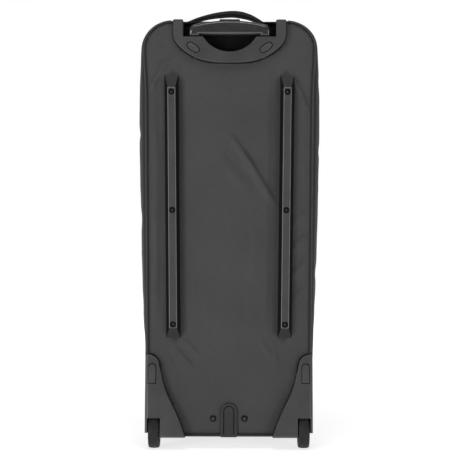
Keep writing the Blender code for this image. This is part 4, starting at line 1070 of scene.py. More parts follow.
def build_plate(finishes):
    plate = outline_block("handle_shell", plate_outline(), PLATE_REAR, PLATE_INNER)
    round_off(plate, 0.0030, 4, 50)
    seat = PLATE_HALF_WIDTH - EAR_WIDTH
    wall = start_box(
        "bowl_wall",
        (-seat - PLATE_WALL, PLATE_INNER - PLATE_WALL, BOWL_LOW - PLATE_WALL),
        (seat + PLATE_WALL, PLATE_INNER - GAP, GRIP_TOP),
    )
    carve(plate, wall, "UNION")
    for side in (-1, 1):
        recess = outline_block("cap_recess", oval(CAP_LENGTH, CAP_WIDTH), -0.003, 0.0022)
        place_oval(recess, side)
        carve(plate, recess)
        carve(plate, cylinder("guide_hole", GUIDE_HOLE, (side * TUBE_X, TUBE_Y, 0.816), 0.060, "Z"))
    finish_piece(plate, finishes["plate"], "bag", "moulded_plastic", "handle_plate", angle=30)
    paint_faces(plate, finishes["recess"], in_shaded_plate_hollow)
    smaller_oval = oval(CAP_LENGTH - 0.0032, CAP_WIDTH - 0.0032)
    cap = outline_block("plate_button_right", smaller_oval, -0.0016, 0.0021)
    round_off(cap, 0.0011, 3)
    begin_edit(cap)
    choose(cap, "faces", lambda face: face.normal.y < -0.95 and face.calc_area() > 0.0001)
    bpy.ops.mesh.inset(thickness=0.0022, depth=-0.0006)
    bpy.ops.mesh.inset(thickness=0.0008, depth=0.0)
    end_edit()
    for name, piece in (("right", cap), ("left", duplicated(cap, "plate_button_left"))):
        place_oval(piece, SIDES[name])
        finish_piece(piece, finishes["cap"], "bag", "moulded_plastic", f"plate_cap_{name}", angle=35)


# Telescopic handle


def grip_outline():
    wide, leg, foot = GRIP_HALF_WIDTH, GRIP_HALF_WIDTH - LEG_WIDTH, SEAT_TOP + GAP
    corner = []
    for step in range(9):
        turn = math.pi / 2 * step / 8
        across = wide - GRIP_CORNER * (1 - math.cos(turn))
        corner.append((across, GRIP_TOP - GRIP_CORNER * (1 - math.sin(turn))))
    crown, steps = [], 24
    for step in range(1, steps):
        across = 1 - 2 * step / steps
        crown.append(((wide - GRIP_CORNER) * across, GRIP_TOP + GRIP_CROWN * (1 - across**2)))
    points = [(-wide, foot), (-leg, foot), (-leg, GRIP_UNDERSIDE), (leg, GRIP_UNDERSIDE)]
    points += [(leg, foot), (wide, foot), *corner, *crown]
    return [*points, *((-across, up) for across, up in corner[::-1])]


def swell_face(obj, side, radius, steps=7):
    """Adds a quarter round of this radius round the flat face on this side of Y."""
    begin_edit(obj)
    choose(obj, "faces", lambda face: face.normal.y * side > 0.99 and face.calc_area() > 0.0005)
    for step in range(steps):
        first, last = math.pi / 2 * step / steps, math.pi / 2 * (step + 1) / steps
        inwards = radius * (math.cos(first) - math.cos(last))
        bpy.ops.mesh.inset(thickness=inwards, depth=radius * (math.sin(last) - math.sin(first)))
    end_edit()


def under_grip(edge):
    """Whether the edge is where the grip's underside meets one of its legs."""
    leg = GRIP_HALF_WIDTH - LEG_WIDTH
    at_underside = all(abs(vert.co.z - GRIP_UNDERSIDE) < 0.0001 for vert in edge.verts)
    return at_underside and all(leg - 0.001 < abs(vert.co.x) < leg + 0.001 for vert in edge.verts)


def build_grip(finishes):
    grip = outline_block("pull_grip", grip_outline(), GRIP_REAR + GRIP_EDGE, GRIP_FRONT - GRIP_EDGE)
    round_edges(grip, 0.0030, 5, under_grip)
    swell_face(grip, -1, GRIP_EDGE)
    swell_face(grip, 1, GRIP_EDGE)
    crown = GRIP_TOP + GRIP_CROWN
    middle = (GRIP_REAR + GRIP_FRONT) / 2
    top = crown + BUTTON_PROUD
    pocket = start_box(
        "pocket",
        (-BUTTON_HALF_LENGTH - 0.0012, middle - BUTTON_WIDTH / 2 - 0.0010, top - BUTTON_BODY - 0.0033),
        (BUTTON_HALF_LENGTH + 0.0012, middle + BUTTON_WIDTH / 2 + 0.0010, top + 0.01),
    )
    round_edges(pocket, 0.004, 5, lambda e: longer(e, 2, 0.005))
    carve(grip, pocket)
    for side in (-1, 1):
        carve(grip, cylinder("tube_hole", GRIP_HOLE, (side * TUBE_X, TUBE_Y, SEAT_TOP), 0.0292, "Z"))
    finish_piece(grip, finishes["grip"], "handle", "moulded_plastic", "handle_grip", angle=30)
    button = start_box(
        "release_button",
        (-BUTTON_HALF_LENGTH, middle - BUTTON_WIDTH / 2, top - BUTTON_BODY),
        (BUTTON_HALF_LENGTH, middle + BUTTON_WIDTH / 2, top),
    )
    round_edges(button, 0.0038, 5, lambda e: longer(e, 2, 0.005))
    round_off(button, 0.0016, 3, 50)
    for place in BUTTON_RIBS:
        low = (place - 0.0007, middle - 0.0045, top - 0.0006)
        carve(button, start_box("rib", low, (place + 0.0007, middle + 0.0045, top + 0.002)))
    finish_piece(button, finishes["button"], "button", "moulded_plastic", "grip_button", angle=30)
    for name, side in SIDES.items():
        centre = (side * TUBE_X, TUBE_Y, SEAT_TOP + GAP + TUBE_INSET - TUBE_LENGTH / 2)
        tube = cylinder(f"slide_tube_{name}", TUBE_RADIUS, centre, TUBE_LENGTH, "Z", 48)
        round_off(tube, 0.0006, 2, 60)
        finish_piece(tube, finishes["tube"], "handle", "tube_metal", f"handle_tube_{name}", angle=40)
        low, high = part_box(f"guide_tube_{name}")
        place, length = (low + high) / 2, high.z - low.z
        pipe = cylinder(f"guide_pipe_{name}", (high.x - low.x) / 2, place, length, "Z", 48)
        carve(pipe, cylinder("pipe_bore", GUIDE_BORE, place, length + 0.01, "Z", 48))
        finish_piece(pipe, finishes["tube"], "bag", "tube_metal", f"guide_tube_{name}", angle=40)


# Wheel corners


def face_y(height):
    share = (HOUSING_TOP - height) / (HOUSING_TOP - HOUSING_LOW)
    return BACK_Y - HOUSING_PROUD_TOP - (HOUSING_PROUD_LOW - HOUSING_PROUD_TOP) * share


def housing_outline(grow=0.0, steps=26):
    height, width, last = HOUSING_TOP - HOUSING_LOW, HOUSING_OUTER - HOUSING_INNER, HOUSING_EDGE[-1]
    points = []
    for step in range(steps + 1):
        share = last[0] * step / steps
        inset = curve_value(HOUSING_EDGE, share, 1)
        points.append((HOUSING_OUTER - inset * width - grow, HOUSING_LOW + share * height - grow))
    edge_x, edge_z = HOUSING_OUTER - last[1] * width, HOUSING_LOW + last[0] * height
    for step in range(1, 11):
        turn = math.pi / 2 * step / 10
        points.append(
            (
                edge_x + HOUSING_TOP_LENGTH * (1 - math.cos(turn)) - grow * math.cos(turn),
                edge_z + (HOUSING_TOP - edge_z) * math.sin(turn) + grow * math.sin(turn),
            )
        )
    outer = HOUSING_OUTER + grow
    return [*points, (outer, HOUSING_TOP + grow - 0.003), (outer, HOUSING_LOW - grow)]


def well_outline(grow=0.0):
    low, deep = HOUSING_LOW + WELL_STEP - grow, BACK_Y + WELL_DEPTH + grow
    rear, chamfer = BACK_Y + HOUSING_WRAP / 2 - grow, WELL_DEPTH / 4
    return [
        (rear, low),
        (deep, low),
        (deep, WELL_SHOULDER + grow),
        (deep - chamfer, WELL_SHOULDER + grow + chamfer),
        (rear, WELL_TOP + grow),
    ]


def cheek_outline():
    rear = BACK_Y - HOUSING_PROUD_LOW
    rise = (OUTER_CHEEK_FRONT - OUTER_CHEEK_LOW) / (WHEEL_Y - rear)
    behind, ahead = rear - HOUSING_WRAP, WHEEL_Y + WHEEL_RADIUS
    high = OUTER_CHEEK_LOW + rise * (WHEEL_Y - behind)
    below, low = -0.02, OUTER_CHEEK_LOW
    return [(behind, below), (ahead, below), (ahead, low), (WHEEL_Y, low), (behind, high)]


def fork_outline():
    reach, tip = WHEEL_RADIUS * 0.60, WHEEL_RADIUS * 0.16
    high = [(WHEEL_Y - reach, WHEEL_RADIUS), (WHEEL_Y + reach, WHEEL_RADIUS)]
    return [high[0], (WHEEL_Y - tip, FORK_LOW), (WHEEL_Y + tip, FORK_LOW), high[1]]


def wheel_space_outline():
    radius = WHEEL_RADIUS + WHEEL_GAP
    behind = BACK_Y - 2 * HOUSING_PROUD_LOW
    start, steps = math.asin((WHEEL_OPENING_TOP - WHEEL_RADIUS) / radius), 40
    points = [(behind, -HOUSING_LOW), (behind, WHEEL_OPENING_TOP)]
    for step in range(steps + 1):
        turn = math.pi - start - (math.pi - start) * step / steps
        points.append((WHEEL_Y + radius * math.cos(turn), WHEEL_RADIUS + radius * math.sin(turn)))
    return [*points, (WHEEL_Y + radius, -HOUSING_LOW)]


def thumb_outline(inset):
    half = PAD_WIDTH / 2 - inset
    low, round_z = (PAD_LOW - PAD_TOP) / 2 + inset, (PAD_TOP - PAD_LOW) / 2 - PAD_WIDTH / 2
    turns = [math.pi * i / 20 for i in range(21)]
    arc = [(half * math.cos(turn), round_z + half * math.sin(turn)) for turn in turns]
    return [(-half, low), (half, low), *arc]


def place_on_housing(obj, lift):
    """Lays a shape made flat about its own middle on the housing's sloping face."""
    height = (PAD_LOW + PAD_TOP) / 2
    outward = Vector((0.0, -math.cos(HOUSING_TILT), math.sin(HOUSING_TILT)))
    centre = Vector((PAD_X, face_y(height), height)) + outward * lift
    turn = Matrix.Rotation(-HOUSING_TILT, 3, "X")
    move_vertices(obj, [centre + turn @ Vector(place) for place in vertices_of(obj)])


def build_housing():
    rear, inner = BACK_Y - HOUSING_PROUD_LOW, BACK_Y + HOUSING_WRAP
    housing = outline_block("wheel_corner", housing_outline(), rear, inner)
    places = vertices_of(housing)
    for place in places:
        if place[1] < rear + 0.0001:
            place[1] = face_y(place[2])
    move_vertices(housing, places)
    outer = HOUSING_OUTER - 0.0001
    round_edges(
        housing, 0.0085, 8, lambda e: all(v.co.x > outer and v.co.y < BACK_Y for v in e.verts)
    )
    low = HOUSING_LOW + 0.0001
    round_edges(
        housing, 0.0050, 5, lambda e: all(v.co.z < low and v.co.y < BACK_Y - 0.012 for v in e.verts)
    )
    round_off(housing, 0.0026, 4, 50)
    well = outline_block("well", well_outline(), WELL_INNER, HOUSING_OUTER - WELL_STEP, "YZ")
    round_off(well, 0.003, 3, 20)
    carve(housing, well, "UNION")
    slot_half = WHEEL_WIDTH / 2 + WHEEL_GAP
    slot_inner = WHEEL_X - slot_half
    carve(housing, outline_block("cheek", cheek_outline(), WHEEL_X, HOUSING_OUTER + 0.003, "YZ"))
    fork = outline_block("fork", fork_outline(), WELL_INNER + WELL_STEP, slot_inner + WHEEL_GAP, "YZ")
    carve(housing, fork, "UNION")
    carve(housing, outline_block("slot", wheel_space_outline(), slot_inner, WHEEL_X + slot_half, "YZ"))
    length = HOUSING_OUTER - WELL_INNER - 0.003
    centre = ((WELL_INNER + HOUSING_OUTER) / 2, WHEEL_Y, WHEEL_RADIUS)
    carve(housing, cylinder("bore", AXLE_RADIUS + GAP, centre, length + 2 * GAP, "X"))
    recess = outline_block("thumb_recess", thumb_outline(0.0), -0.004, 0.0026)
    place_on_housing(recess, 0.0)
    carve(housing, recess)
    pad = outline_block("corner_pad", thumb_outline(0.0015), -0.0012, 0.0024)
    round_off(pad, 0.0010, 3)
    place_on_housing(pad, 0.0)
    axle = cylinder("wheel_pin", AXLE_RADIUS, centre, length, "X")
    return housing, pad, axle


def build_wheel():
    """The tyre with its crowned tread and moulded shoulders, and the hub with spokes and a bearing."""
    centre = (WHEEL_X, WHEEL_Y, WHEEL_RADIUS)
    half, radius = WHEEL_WIDTH / 2, WHEEL_RADIUS
    upper = [
        (HUB_RADIUS + GAP, half * 0.86),
        (HUB_RADIUS + 0.0012, half * 0.98),
        (radius * 0.78, half),
        (radius * 0.90, half * 0.99),
        (radius * 0.945, half * 0.93),
        (radius * 0.972, half * 0.80),
        (radius * 0.987, half * 0.60),
        (radius * 0.996, half * 0.34),
        (radius * 0.9995, half * 0.12),
    ]
    profile = [*upper, (radius, 0.0), *((r, -h) for r, h in upper[::-1])]
    tyre = turned("tyre", profile, centre, 72)
    hub_half = HUB_WIDTH / 2
    rim = [
        (HUB_RADIUS, hub_half),
        (HUB_RADIUS - 0.0026, hub_half),
        (HUB_RADIUS - 0.0034, hub_half - 0.0012),
        (HUB_RADIUS - 0.0034, -hub_half + 0.0012),
        (HUB_RADIUS - 0.0026, -hub_half),
        (HUB_RADIUS, -hub_half),
    ]
    hub = turned("hub", rim, centre, 64)
    boss = turned(
        "boss",
        [
            (AXLE_RADIUS + GAP, hub_half),
            (0.0052, hub_half),
            (0.0056, hub_half - 0.0008),
            (0.0078, hub_half - 0.0008),
            (0.0082, hub_half - 0.0018),
            (0.0082, -hub_half + 0.0018),
            (0.0078, -hub_half + 0.0008),
            (0.0056, -hub_half + 0.0008),
            (0.0052, -hub_half),
            (AXLE_RADIUS + GAP, -hub_half),
        ],
        centre,
        64,
    )
    carve(hub, boss, "UNION")
    for spoke in range(5):
        bar = start_box(
            "bar",
            (WHEEL_X - 0.0030, WHEEL_Y - 0.0016, WHEEL_RADIUS + 0.0070),
            (WHEEL_X + 0.0030, WHEEL_Y + 0.0016, WHEEL_RADIUS + HUB_RADIUS - 0.0028),
        )
        round_off(bar, 0.0007, 2, 40)
        turn_shape(bar, 2 * math.pi * spoke / 5, "X", centre)
        carve(hub, bar, "UNION")
    return tyre, hub


def in_shaded_corner_hollow(face):
    """Whether a face of a wheel corner lies in the pad's recess or in the wheel's space, where it is painted
    dark as shade.
    """
    x, y, z = face.center
    sunk = y - face_y(z)
    in_pad = abs(abs(x) - PAD_X) < PAD_WIDTH / 2 + GAP and PAD_LOW - GAP < z < PAD_TOP + GAP
    by_wheel = z < HOUSING_TOP and abs(abs(x) - WHEEL_X) < WHEEL_WIDTH / 2 + 2 * WHEEL_GAP
    in_well = by_wheel and BACK_Y - 0.012 < y < BACK_Y + WELL_DEPTH * 0.9
    return (in_pad and 0.0004 < sunk < 0.0034) or in_well


def build_corners(finishes):
    right = [*build_housing(), *build_wheel()]
    titles = ("wheel_corner", "corner_pad", "wheel_pin", "road_tyre", "hub")
    for name, side in SIDES.items():
        made = right if side > 0 else [mirrored(piece, "mirrored") for piece in right]
        for piece, title in zip(made, titles):
            piece.name = piece.data.name = f"{title}_{name}"
        housing, pad, axle, tyre, hub = made
        node = f"wheel_housing_{name}"
        finish_piece(housing, finishes["housing"], "bag", "moulded_plastic", node, angle=30)
        paint_faces(housing, finishes["recess"], in_shaded_corner_hollow)
        finish_piece(pad, finishes["housing"], "bag", "moulded_plastic", f"housing_pad_{name}", angle=35)
        finish_piece(axle, finishes["screw"], "bag", "screw_metal", f"wheel_axle_{name}", angle=35)
        body = f"wheel_{name}"
        finish_piece(tyre, finishes["tyre"], body, "wheel_tyre", f"wheel_tyre_{name}", angle=40)
        finish_piece(hub, finishes["hub"], body, "wheel_hub", f"wheel_hub_{name}", angle=35)


# Tab, rivets and feet


def tab_outline(width, low, top, steps=24):
    half = width / 2
    turns = [math.pi * i / steps for i in range(steps + 1)]
    arc = [(half * math.cos(turn), top - half + half * math.sin(turn)) for turn in turns]
    return [(-half, low), (half, low), *arc]


def build_tab(finishes):
    inner = BACK_Y - GAP
    outer = inner - TAB_THICKNESS
    tab = outline_block("pull_tab", tab_outline(TAB_WIDTH, TAB_LOW, TAB_TOP), outer, inner)
    round_off(tab, 0.0013, 3, 50)
    rim = (TAB_WIDTH - TAB_GROOVE_WIDTH) / 2
    groove_top = TAB_TOP - rim
    around = tab_outline(TAB_GROOVE_WIDTH, 0.030, groove_top)
    trench = outline_block("trench", around, outer - 0.01, outer + 0.0017)
    middle = tab_outline(TAB_GROOVE_WIDTH - 0.0040, 0.026, groove_top - 0.0020)
    carve(trench, outline_block("island", middle, outer - 0.02, outer + 0.01))
    carve(tab, trench)
    finish_piece(tab, finishes["tab"], "bag", "moulded_plastic", "kick_tab", angle=30)

    def in_shaded_groove(face):
        x, y, z = face.center
        deep = outer + 0.0003 < y < outer + 0.0019
        return deep and abs(x) < TAB_GROOVE_WIDTH / 2 + 0.0002 and z < groove_top + 0.0002

    # The groove is painted dark, as its shade.
    paint_faces(tab, finishes["shade_dark"], in_shaded_groove)
    rivet = dome("dome_rivet_right", (RIVET_X, inner - 0.0001, RIVET_Z), RIVET_DOME, inner - 0.0008, 36)
    places = vertices_of(rivet)
    places[:, 1] = inner + (places[:, 1] - inner) * 0.76
    move_vertices(rivet, places)
    # The collar round each rivet is painted dark, as the shadow ring round its head.
    collar = cylinder("collar", RIVET_RADIUS, (RIVET_X, inner - 0.0006, RIVET_Z), 0.0012, "Y", 48)
    round_off(collar, 0.0005, 3)
    collar.name = collar.data.name = "rivet_collar_right"
    for name, side in SIDES.items():
        head = rivet if side > 0 else mirrored(rivet, "dome_rivet_left")
        ring = collar if side > 0 else mirrored(collar, "rivet_collar_left")
        finish_piece(head, finishes["screw"], "bag", "screw_metal", f"tab_rivet_{name}", angle=40)
        finish_piece(ring, finishes["shade_dark"], "bag", "screw_metal", angle=40)


def build_feet(finishes):
    foot = start_box(
        "stand_foot_right",
        (FOOT_X - FOOT_LENGTH / 2, FOOT_FRONT - FOOT_DEPTH, 0.0),
        (FOOT_X + FOOT_LENGTH / 2, FOOT_FRONT, BODY_BOTTOM - GAP),
    )
    round_edges(foot, 0.007, 6, lambda e: longer(e, 2, 0.01))
    begin_edit(foot)
    choose(foot, "faces", lambda face: face.normal.z > 0.9)
    bpy.ops.transform.resize(value=(0.97, 0.94, 1.0))
    end_edit()
    round_off(foot, 0.0025, 4, 50)
    for step in range(-2, 3):
        x = FOOT_X + step * 0.0095
        low = (x - 0.0011, FOOT_FRONT - FOOT_DEPTH - 0.01, -0.01)
        carve(foot, start_box("groove", low, (x + 0.0011, FOOT_FRONT + 0.01, 0.0012)))
    other = mirrored(foot, "stand_foot_left")
    finish_piece(foot, finishes["plate"], "bag", "moulded_plastic", "front_foot_right", angle=30)
    finish_piece(other, finishes["plate"], "bag", "moulded_plastic", "front_foot_left", angle=30)


def cut_openings(cloth):
    """Cuts the handle plate's and the wheel corners' openings in the cloth."""
    wide, top = PLATE_HALF_WIDTH + GAP, PLATE_TOP + 0.014
    sleeve = [*plate_low_edge(GAP), (wide, top), (-wide, top)]
    cutters = [outline_block("plate_sleeve", sleeve, PLATE_REAR - 0.014, PLATE_INNER + GAP)]
    rear = BACK_Y - HOUSING_PROUD_LOW
    corner = outline_block("corner_sleeve", housing_outline(GAP), rear, BACK_Y + HOUSING_WRAP + GAP)
    well = outline_block("well_sleeve", well_outline(GAP), WELL_INNER - GAP, HOUSING_OUTER + GAP, "YZ")
    cutters += [corner, well, mirrored(corner, "corner_sleeve_left"), mirrored(well, "well_sleeve_left")]
    for cutter in cutters:
        for piece in cloth:
            carve(piece, cutter, keep=True)
        bpy.data.objects.remove(cutter)


# Seams, piping and zip


def blank_edge(along, inset=0.0):
    """A point of the blank's edge at this distance from the middle of the bottom, and the way out there."""
    straight, quarter = BODY_HALF_WIDTH - BODY_CORNER, math.pi / 2 * BODY_CORNER
    first, last = BODY_BOTTOM + BODY_CORNER, BODY_TOP - BODY_CORNER
    side, run = math.copysign(1, along), abs(along)
    if run <= straight:
        x, z, turn = run, first, 0.0
    elif run <= straight + quarter:
        x, z, turn = straight, first, (run - straight) / BODY_CORNER
    elif run <= straight + quarter + last - first:
        x, z, turn = straight, first + run - straight - quarter, math.pi / 2
    elif run <= straight + 2 * quarter + last - first:
        x, z, turn = straight, last, (run - straight - last + first) / BODY_CORNER
    else:
        x, z, turn = 2 * straight + 2 * quarter + last - first - run, last, math.pi
    out_x, out_z = math.sin(turn), -math.cos(turn)
    reach = BODY_CORNER - inset
    return side * (x + out_x * reach), z + out_z * reach, side * out_x, out_z


HALF_ROUND = along_edge(0.0, BODY_TOP)


def edge_points(y, pitch, inset=0.0):
    """Points round the shaped body's edge at this depth, from the middle of the bottom and back to it."""
    count = round(2 * HALF_ROUND / pitch)
    points = []
    for step in range(count):
        x, z, _, _ = blank_edge(-HALF_ROUND + 2 * HALF_ROUND * (step + 0.5) / count, inset)
        points.append(Vector(body_place(x, y, z)))
    return points


def stitch(name, length, radius):
    """One stitch, about its own middle, with its length along X."""
    bpy.ops.mesh.primitive_uv_sphere_add(segments=6, ring_count=4, radius=1.0)
    thread = named(name)
    move_vertices(thread, vertices_of(thread)[:, [2, 0, 1]] * (length / 2, radius, radius))
    return thread


def sew(name, cloth, points, finishes, slot, body="bag", length=0.0030, near=0.0012):
    """A row of stitches that lie on the cloth along the points, left out where the cloth is cut away."""
    frames = []
    for before, point, after in zip(points, points[1:], points[2:]):
        found, place, normal, _ = cloth.closest_point_on_mesh(point)
        if not found or (place - point).length > near:
            continue
        along = (after - before).normalized()
        across = normal.cross(along).normalized()
        frames.append((place + normal * 0.00012, along, across, normal))
    row = repeated(name, stitch(f"{name}_thread", length, STITCH_RADIUS), frames)
    return finish_piece(row, finishes["thread"], body, slot)


def build_seams(cloth, finishes):
    zip_low = BACK_Y + ZIP_DEPTH * BODY_DEPTH - ZIP_WIDTH / 2
    rows = (
        ("panel_stitches", "back_cloth", BACK_Y, 0.0060, 0.004),
        ("gusset_stitches", "side_cloth", BACK_Y + 0.0062, 0.0, 0.004),
        ("gusset_zip_stitches", "side_cloth", zip_low - 0.0030, 0.0, 0.0015),
        ("lid_zip_stitches", "lid_cloth", zip_low + ZIP_WIDTH + 0.0030, 0.0, 0.0015),
        ("lid_front_stitches", "lid_cloth", BACK_Y + BODY_DEPTH, 0.0065, 0.004),
    )
    for name, piece, y, inset, near in rows:
        slot = "lid_cloth" if piece == "lid_cloth" else "body_cloth"
        sew(name, cloth[piece], edge_points(y, STITCH_PITCH, inset), finishes, slot, near=near)


def cord_along(name, path, radius, turns=14):
    """A covered cord along points that lie in one plane across Y."""
    lengths = np.concatenate([[0.0], np.cumsum([(b - a).length for a, b in zip(path, path[1:])])])
    rows = len(path) - 1

    def place(along, around):
        index = round(along * rows)
        ahead = (path[min(rows, index + 1)] - path[max(0, index - 1)]).normalized()
        side = ahead.cross(Vector((0, 1, 0)))
        turn = 2 * math.pi * around
        return path[index] + side * math.cos(turn) * radius + Vector((0, math.sin(turn) * radius, 0))

    return rolled(name, rows, turns, place, 2 * math.pi * radius, lengths[-1])


def build_piping(finishes):
    """The covered cord in the back seam."""
    away = PIPING_RADIUS + SEAM_GAP
    inner, low = PLATE_HALF_WIDTH + PIPING_RADIUS, HOUSING_TOP + PIPING_RADIUS
    for name, side in SIDES.items():
        path, bottom = [], []
        for step in range(900):
            x, z, out_x, out_z = blank_edge(HALF_ROUND * (step + 0.5) / 900)
            x, _, z = body_place(x, BACK_Y, z)
            across, up = x + out_x * away * PIPING_OUT, z + out_z * away * PIPING_OUT
            point = Vector((side * across, BACK_Y - away * PIPING_BACK, up))
            if z > low and (z < BODY_TOP - 2 * BODY_CORNER or x > inner):
                path.append(point)
            if z < BODY_BOTTOM + BODY_CORNER / 4 and TAB_WIDTH / 2 - 0.001 < x < HOUSING_INNER + 0.002:
                bottom.append(point)
        for title, points in ((f"back_piping_{name}", path), (f"bottom_piping_{name}", bottom)):
            cord = cord_along(f"piped_{title}", points[::2], PIPING_RADIUS)
            finish_piece(cord, finishes["piping"], "bag", "piping", title, angle=60)


def build_zip(finishes):
    """The zip's two rows of teeth, and its sliders and pulls at the middle of the top."""
    middle = BACK_Y + ZIP_DEPTH * BODY_DEPTH
    count = round(2 * HALF_ROUND / TOOTH_PITCH)
    for row, lean in (("inner", -1), ("outer", 1)):
        frames = []
        for step in range(count):
            share = (step + 0.5 + lean * 0.25) / count
            x, z, out_x, out_z = blank_edge(-HALF_ROUND + 2 * HALF_ROUND * share)
            out = Vector((out_x, 0.0, out_z))
            place = Vector(body_place(x, middle + lean * 0.0008, z)) - out * 0.0006
            frames.append((place, Vector((out.z, 0.0, -out.x)), Vector((0, 1, 0)), out))
        tooth = start_box(f"{row}_tooth", (-0.0006, -0.0017, -0.0004), (0.0006, 0.0017, 0.0009))
        begin_edit(tooth)
        choose(tooth, "faces", lambda face: face.normal.z > 0.9)
        bpy.ops.transform.resize(value=(0.55, 0.8, 1.0))
        end_edit()
        teeth = repeated(f"{row}_teeth", tooth, frames)
        finish_piece(teeth, finishes["teeth"], "bag", "zip_metal", angle=30)
    for name, side in SIDES.items():
        low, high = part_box(f"zip_slider_{name}")
        slider = start_box(f"zip_runner_{name}", low, (high.x, high.y, low.z + 0.0026))
        nose = low.x if side > 0 else high.x

        def at_nose(edge):
            return all(abs(vert.co.x - nose) < 0.0001 for vert in edge.verts) and longer(edge, 2, 0.001)

        round_edges(slider, 0.0024, 4, at_nose)
        round_off(slider, 0.0005, 2, 40)
        centre = (low + high) / 2
        foot = (centre.x - 0.0042, centre.y - 0.0015, low.z + 0.001)
        bridge = start_box("bridge", foot, (centre.x + 0.0042, centre.y + 0.0015, high.z))
        crest = high.z - 0.0001

        def at_crest(edge):
            return all(vert.co.z > crest for vert in edge.verts) and longer(edge, 1, 0.001)

        round_edges(bridge, 0.0018, 4, at_crest)
        carve(slider, bridge, "UNION")
        carve(slider, cylinder("eye", 0.0010, (centre.x, centre.y, low.z + 0.0034), 0.01, "Y", 20))
        finish_piece(slider, finishes["teeth"], "bag", "zip_metal", f"zip_slider_{name}", angle=35)
        low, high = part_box(f"zip_pull_{name}")
        pull = start_box(f"zip_tab_{name}", low, high)
        round_edges(pull, 0.0024, 5, lambda e: longer(e, 2, 0.001))
        near = low.x if side > 0 else high.x
        centre = (near + side * 0.0032, (low.y + high.y) / 2, (low.z + high.z) / 2)
        carve(pull, cylinder("hole", 0.0013, centre, 0.01, "Z", 20))
        for step in range(6):
            x = near + side * (0.011 + 0.0026 * step)
            corner = (x - 0.0006, low.y + 0.0012, high.z - 0.0004)
            carve(pull, start_box("rib", corner, (x + 0.0006, high.y - 0.0012, high.z + 0.001)))
        round_off(pull, 0.0003, 2, 50)
        finish_piece(pull, finishes["teeth"], "bag", "zip_metal", f"zip_pull_{name}", angle=35)


# Carry strap


def strap_middle(along):
    """The strap's middle, thickness and the way down through it at this share of its span."""
    span, base = STRAP_RIGHT - STRAP_LEFT, BODY_TOP + GAP
    pad = max(0.0, curve_value(STRAP_SECTIONS, along, 2))
    thick = STRAP_THIN + (STRAP_THICK - STRAP_THIN) * pad

    def top_at(share):
        rise = max(0.0, curve_value(STRAP_SECTIONS, share, 1))
        return base + STRAP_THIN + rise * (STRAP_RISE - STRAP_THIN)

    climb = top_at(min(1.0, along + 0.01)) - top_at(max(0.0, along - 0.01))
    slope = Vector((0.02 * span, 0.0, climb)).normalized()
    down = Vector((slope.z, 0.0, -slope.x))
    top = Vector((STRAP_LEFT + along * span, STRAP_Y, top_at(along)))
    return top, thick, down, pad


def strap_point(along, around):
    """A point of the padded strap: rounder in the middle and flat at its sewn ends."""
    top, thick, down, pad = strap_middle(along)
    turn = 2 * math.pi * around
    c, s = math.cos(turn), math.sin(turn)
    power = 5.0 - 2.4 * pad
    size = (abs(c) ** power + abs(s) ** power) ** (-1 / power)
    across, through = c * size, s * size
    seam = math.exp(-(((abs(across) - 0.74) / 0.055) ** 2)) * 0.0007 * pad
    soft = cloth_noise((top.x, across * 0.01, through * 0.01), 60, 2) * 0.0005 * pad
    wrinkle = max(0.0, math.sin(top.x * 520 + across)) ** 6 * 0.0005 * pad * max(0.0, -through)
    half = thick / 2 - (seam + soft + wrinkle)
    return top + down * (thick / 2 - through * half) + Vector((0, across * STRAP_WIDTH / 2, 0))


def build_strap(finishes):
    strap = rolled("padded_strap", 150, 84, strap_point, 0.086, 0.28)
    finish_piece(strap, finishes["strap"], "bag", "strap_webbing", "carry_strap", angle=50)
    span, height = STRAP_RIGHT - STRAP_LEFT, BODY_TOP + GAP + STRAP_THIN
    for row, across in (("front", 0.74), ("back", -0.74)):
        for face, offset in (("upper", 0.0), ("lower", 1.0)):
            points = []
            for step in range(84):
                top, thick, down, _ = strap_middle(0.10 + 0.80 * step / 83)
                points.append(top + down * thick * offset + Vector((0, across * STRAP_WIDTH / 2, 0)))
            title = f"strap_{row}_{face}_stitches"
            sew(title, strap, points, finishes, "strap_webbing", length=0.0020, near=0.003)
    for name, start in (("left", 0.006), ("right", 0.941)):
        x1, x2 = STRAP_LEFT + start * span, STRAP_LEFT + (start + 0.053) * span
        y1, y2 = STRAP_Y - STRAP_WIDTH * 0.40, STRAP_Y + STRAP_WIDTH * 0.40
        corners = [(x1, y1), (x2, y1), (x2, y2), (x1, y2), (x1, y1), (x2, y2), (x2, y1), (x1, y2)]
        points = []
        for (ax, ay), (bx, by) in zip(corners, corners[1:]):
            count = max(2, round(math.hypot(bx - ax, by - ay) / 0.0026))
            for step in range(count):
                share = (step + 0.5) / count
                points.append(Vector((ax + (bx - ax) * share, ay + (by - ay) * share, height)))
        title = f"strap_{name}_box_stitches"
        sew(title, strap, points, finishes, "strap_webbing", length=0.0020, near=0.002)


# Light, floor and camera


def area_light(name, place, aim, wide, tall, power):
    light = bpy.data.lights.new(name, "AREA")
    light.energy = power
    light.shape = "RECTANGLE"
    light.size, light.size_y = wide, tall
    obj = bpy.data.objects.new(name, light)
    bpy.context.scene.collection.objects.link(obj)
    obj.location = place
    obj.rotation_euler = (Vector(aim) - Vector(place)).to_track_quat("-Z", "Y").to_euler()


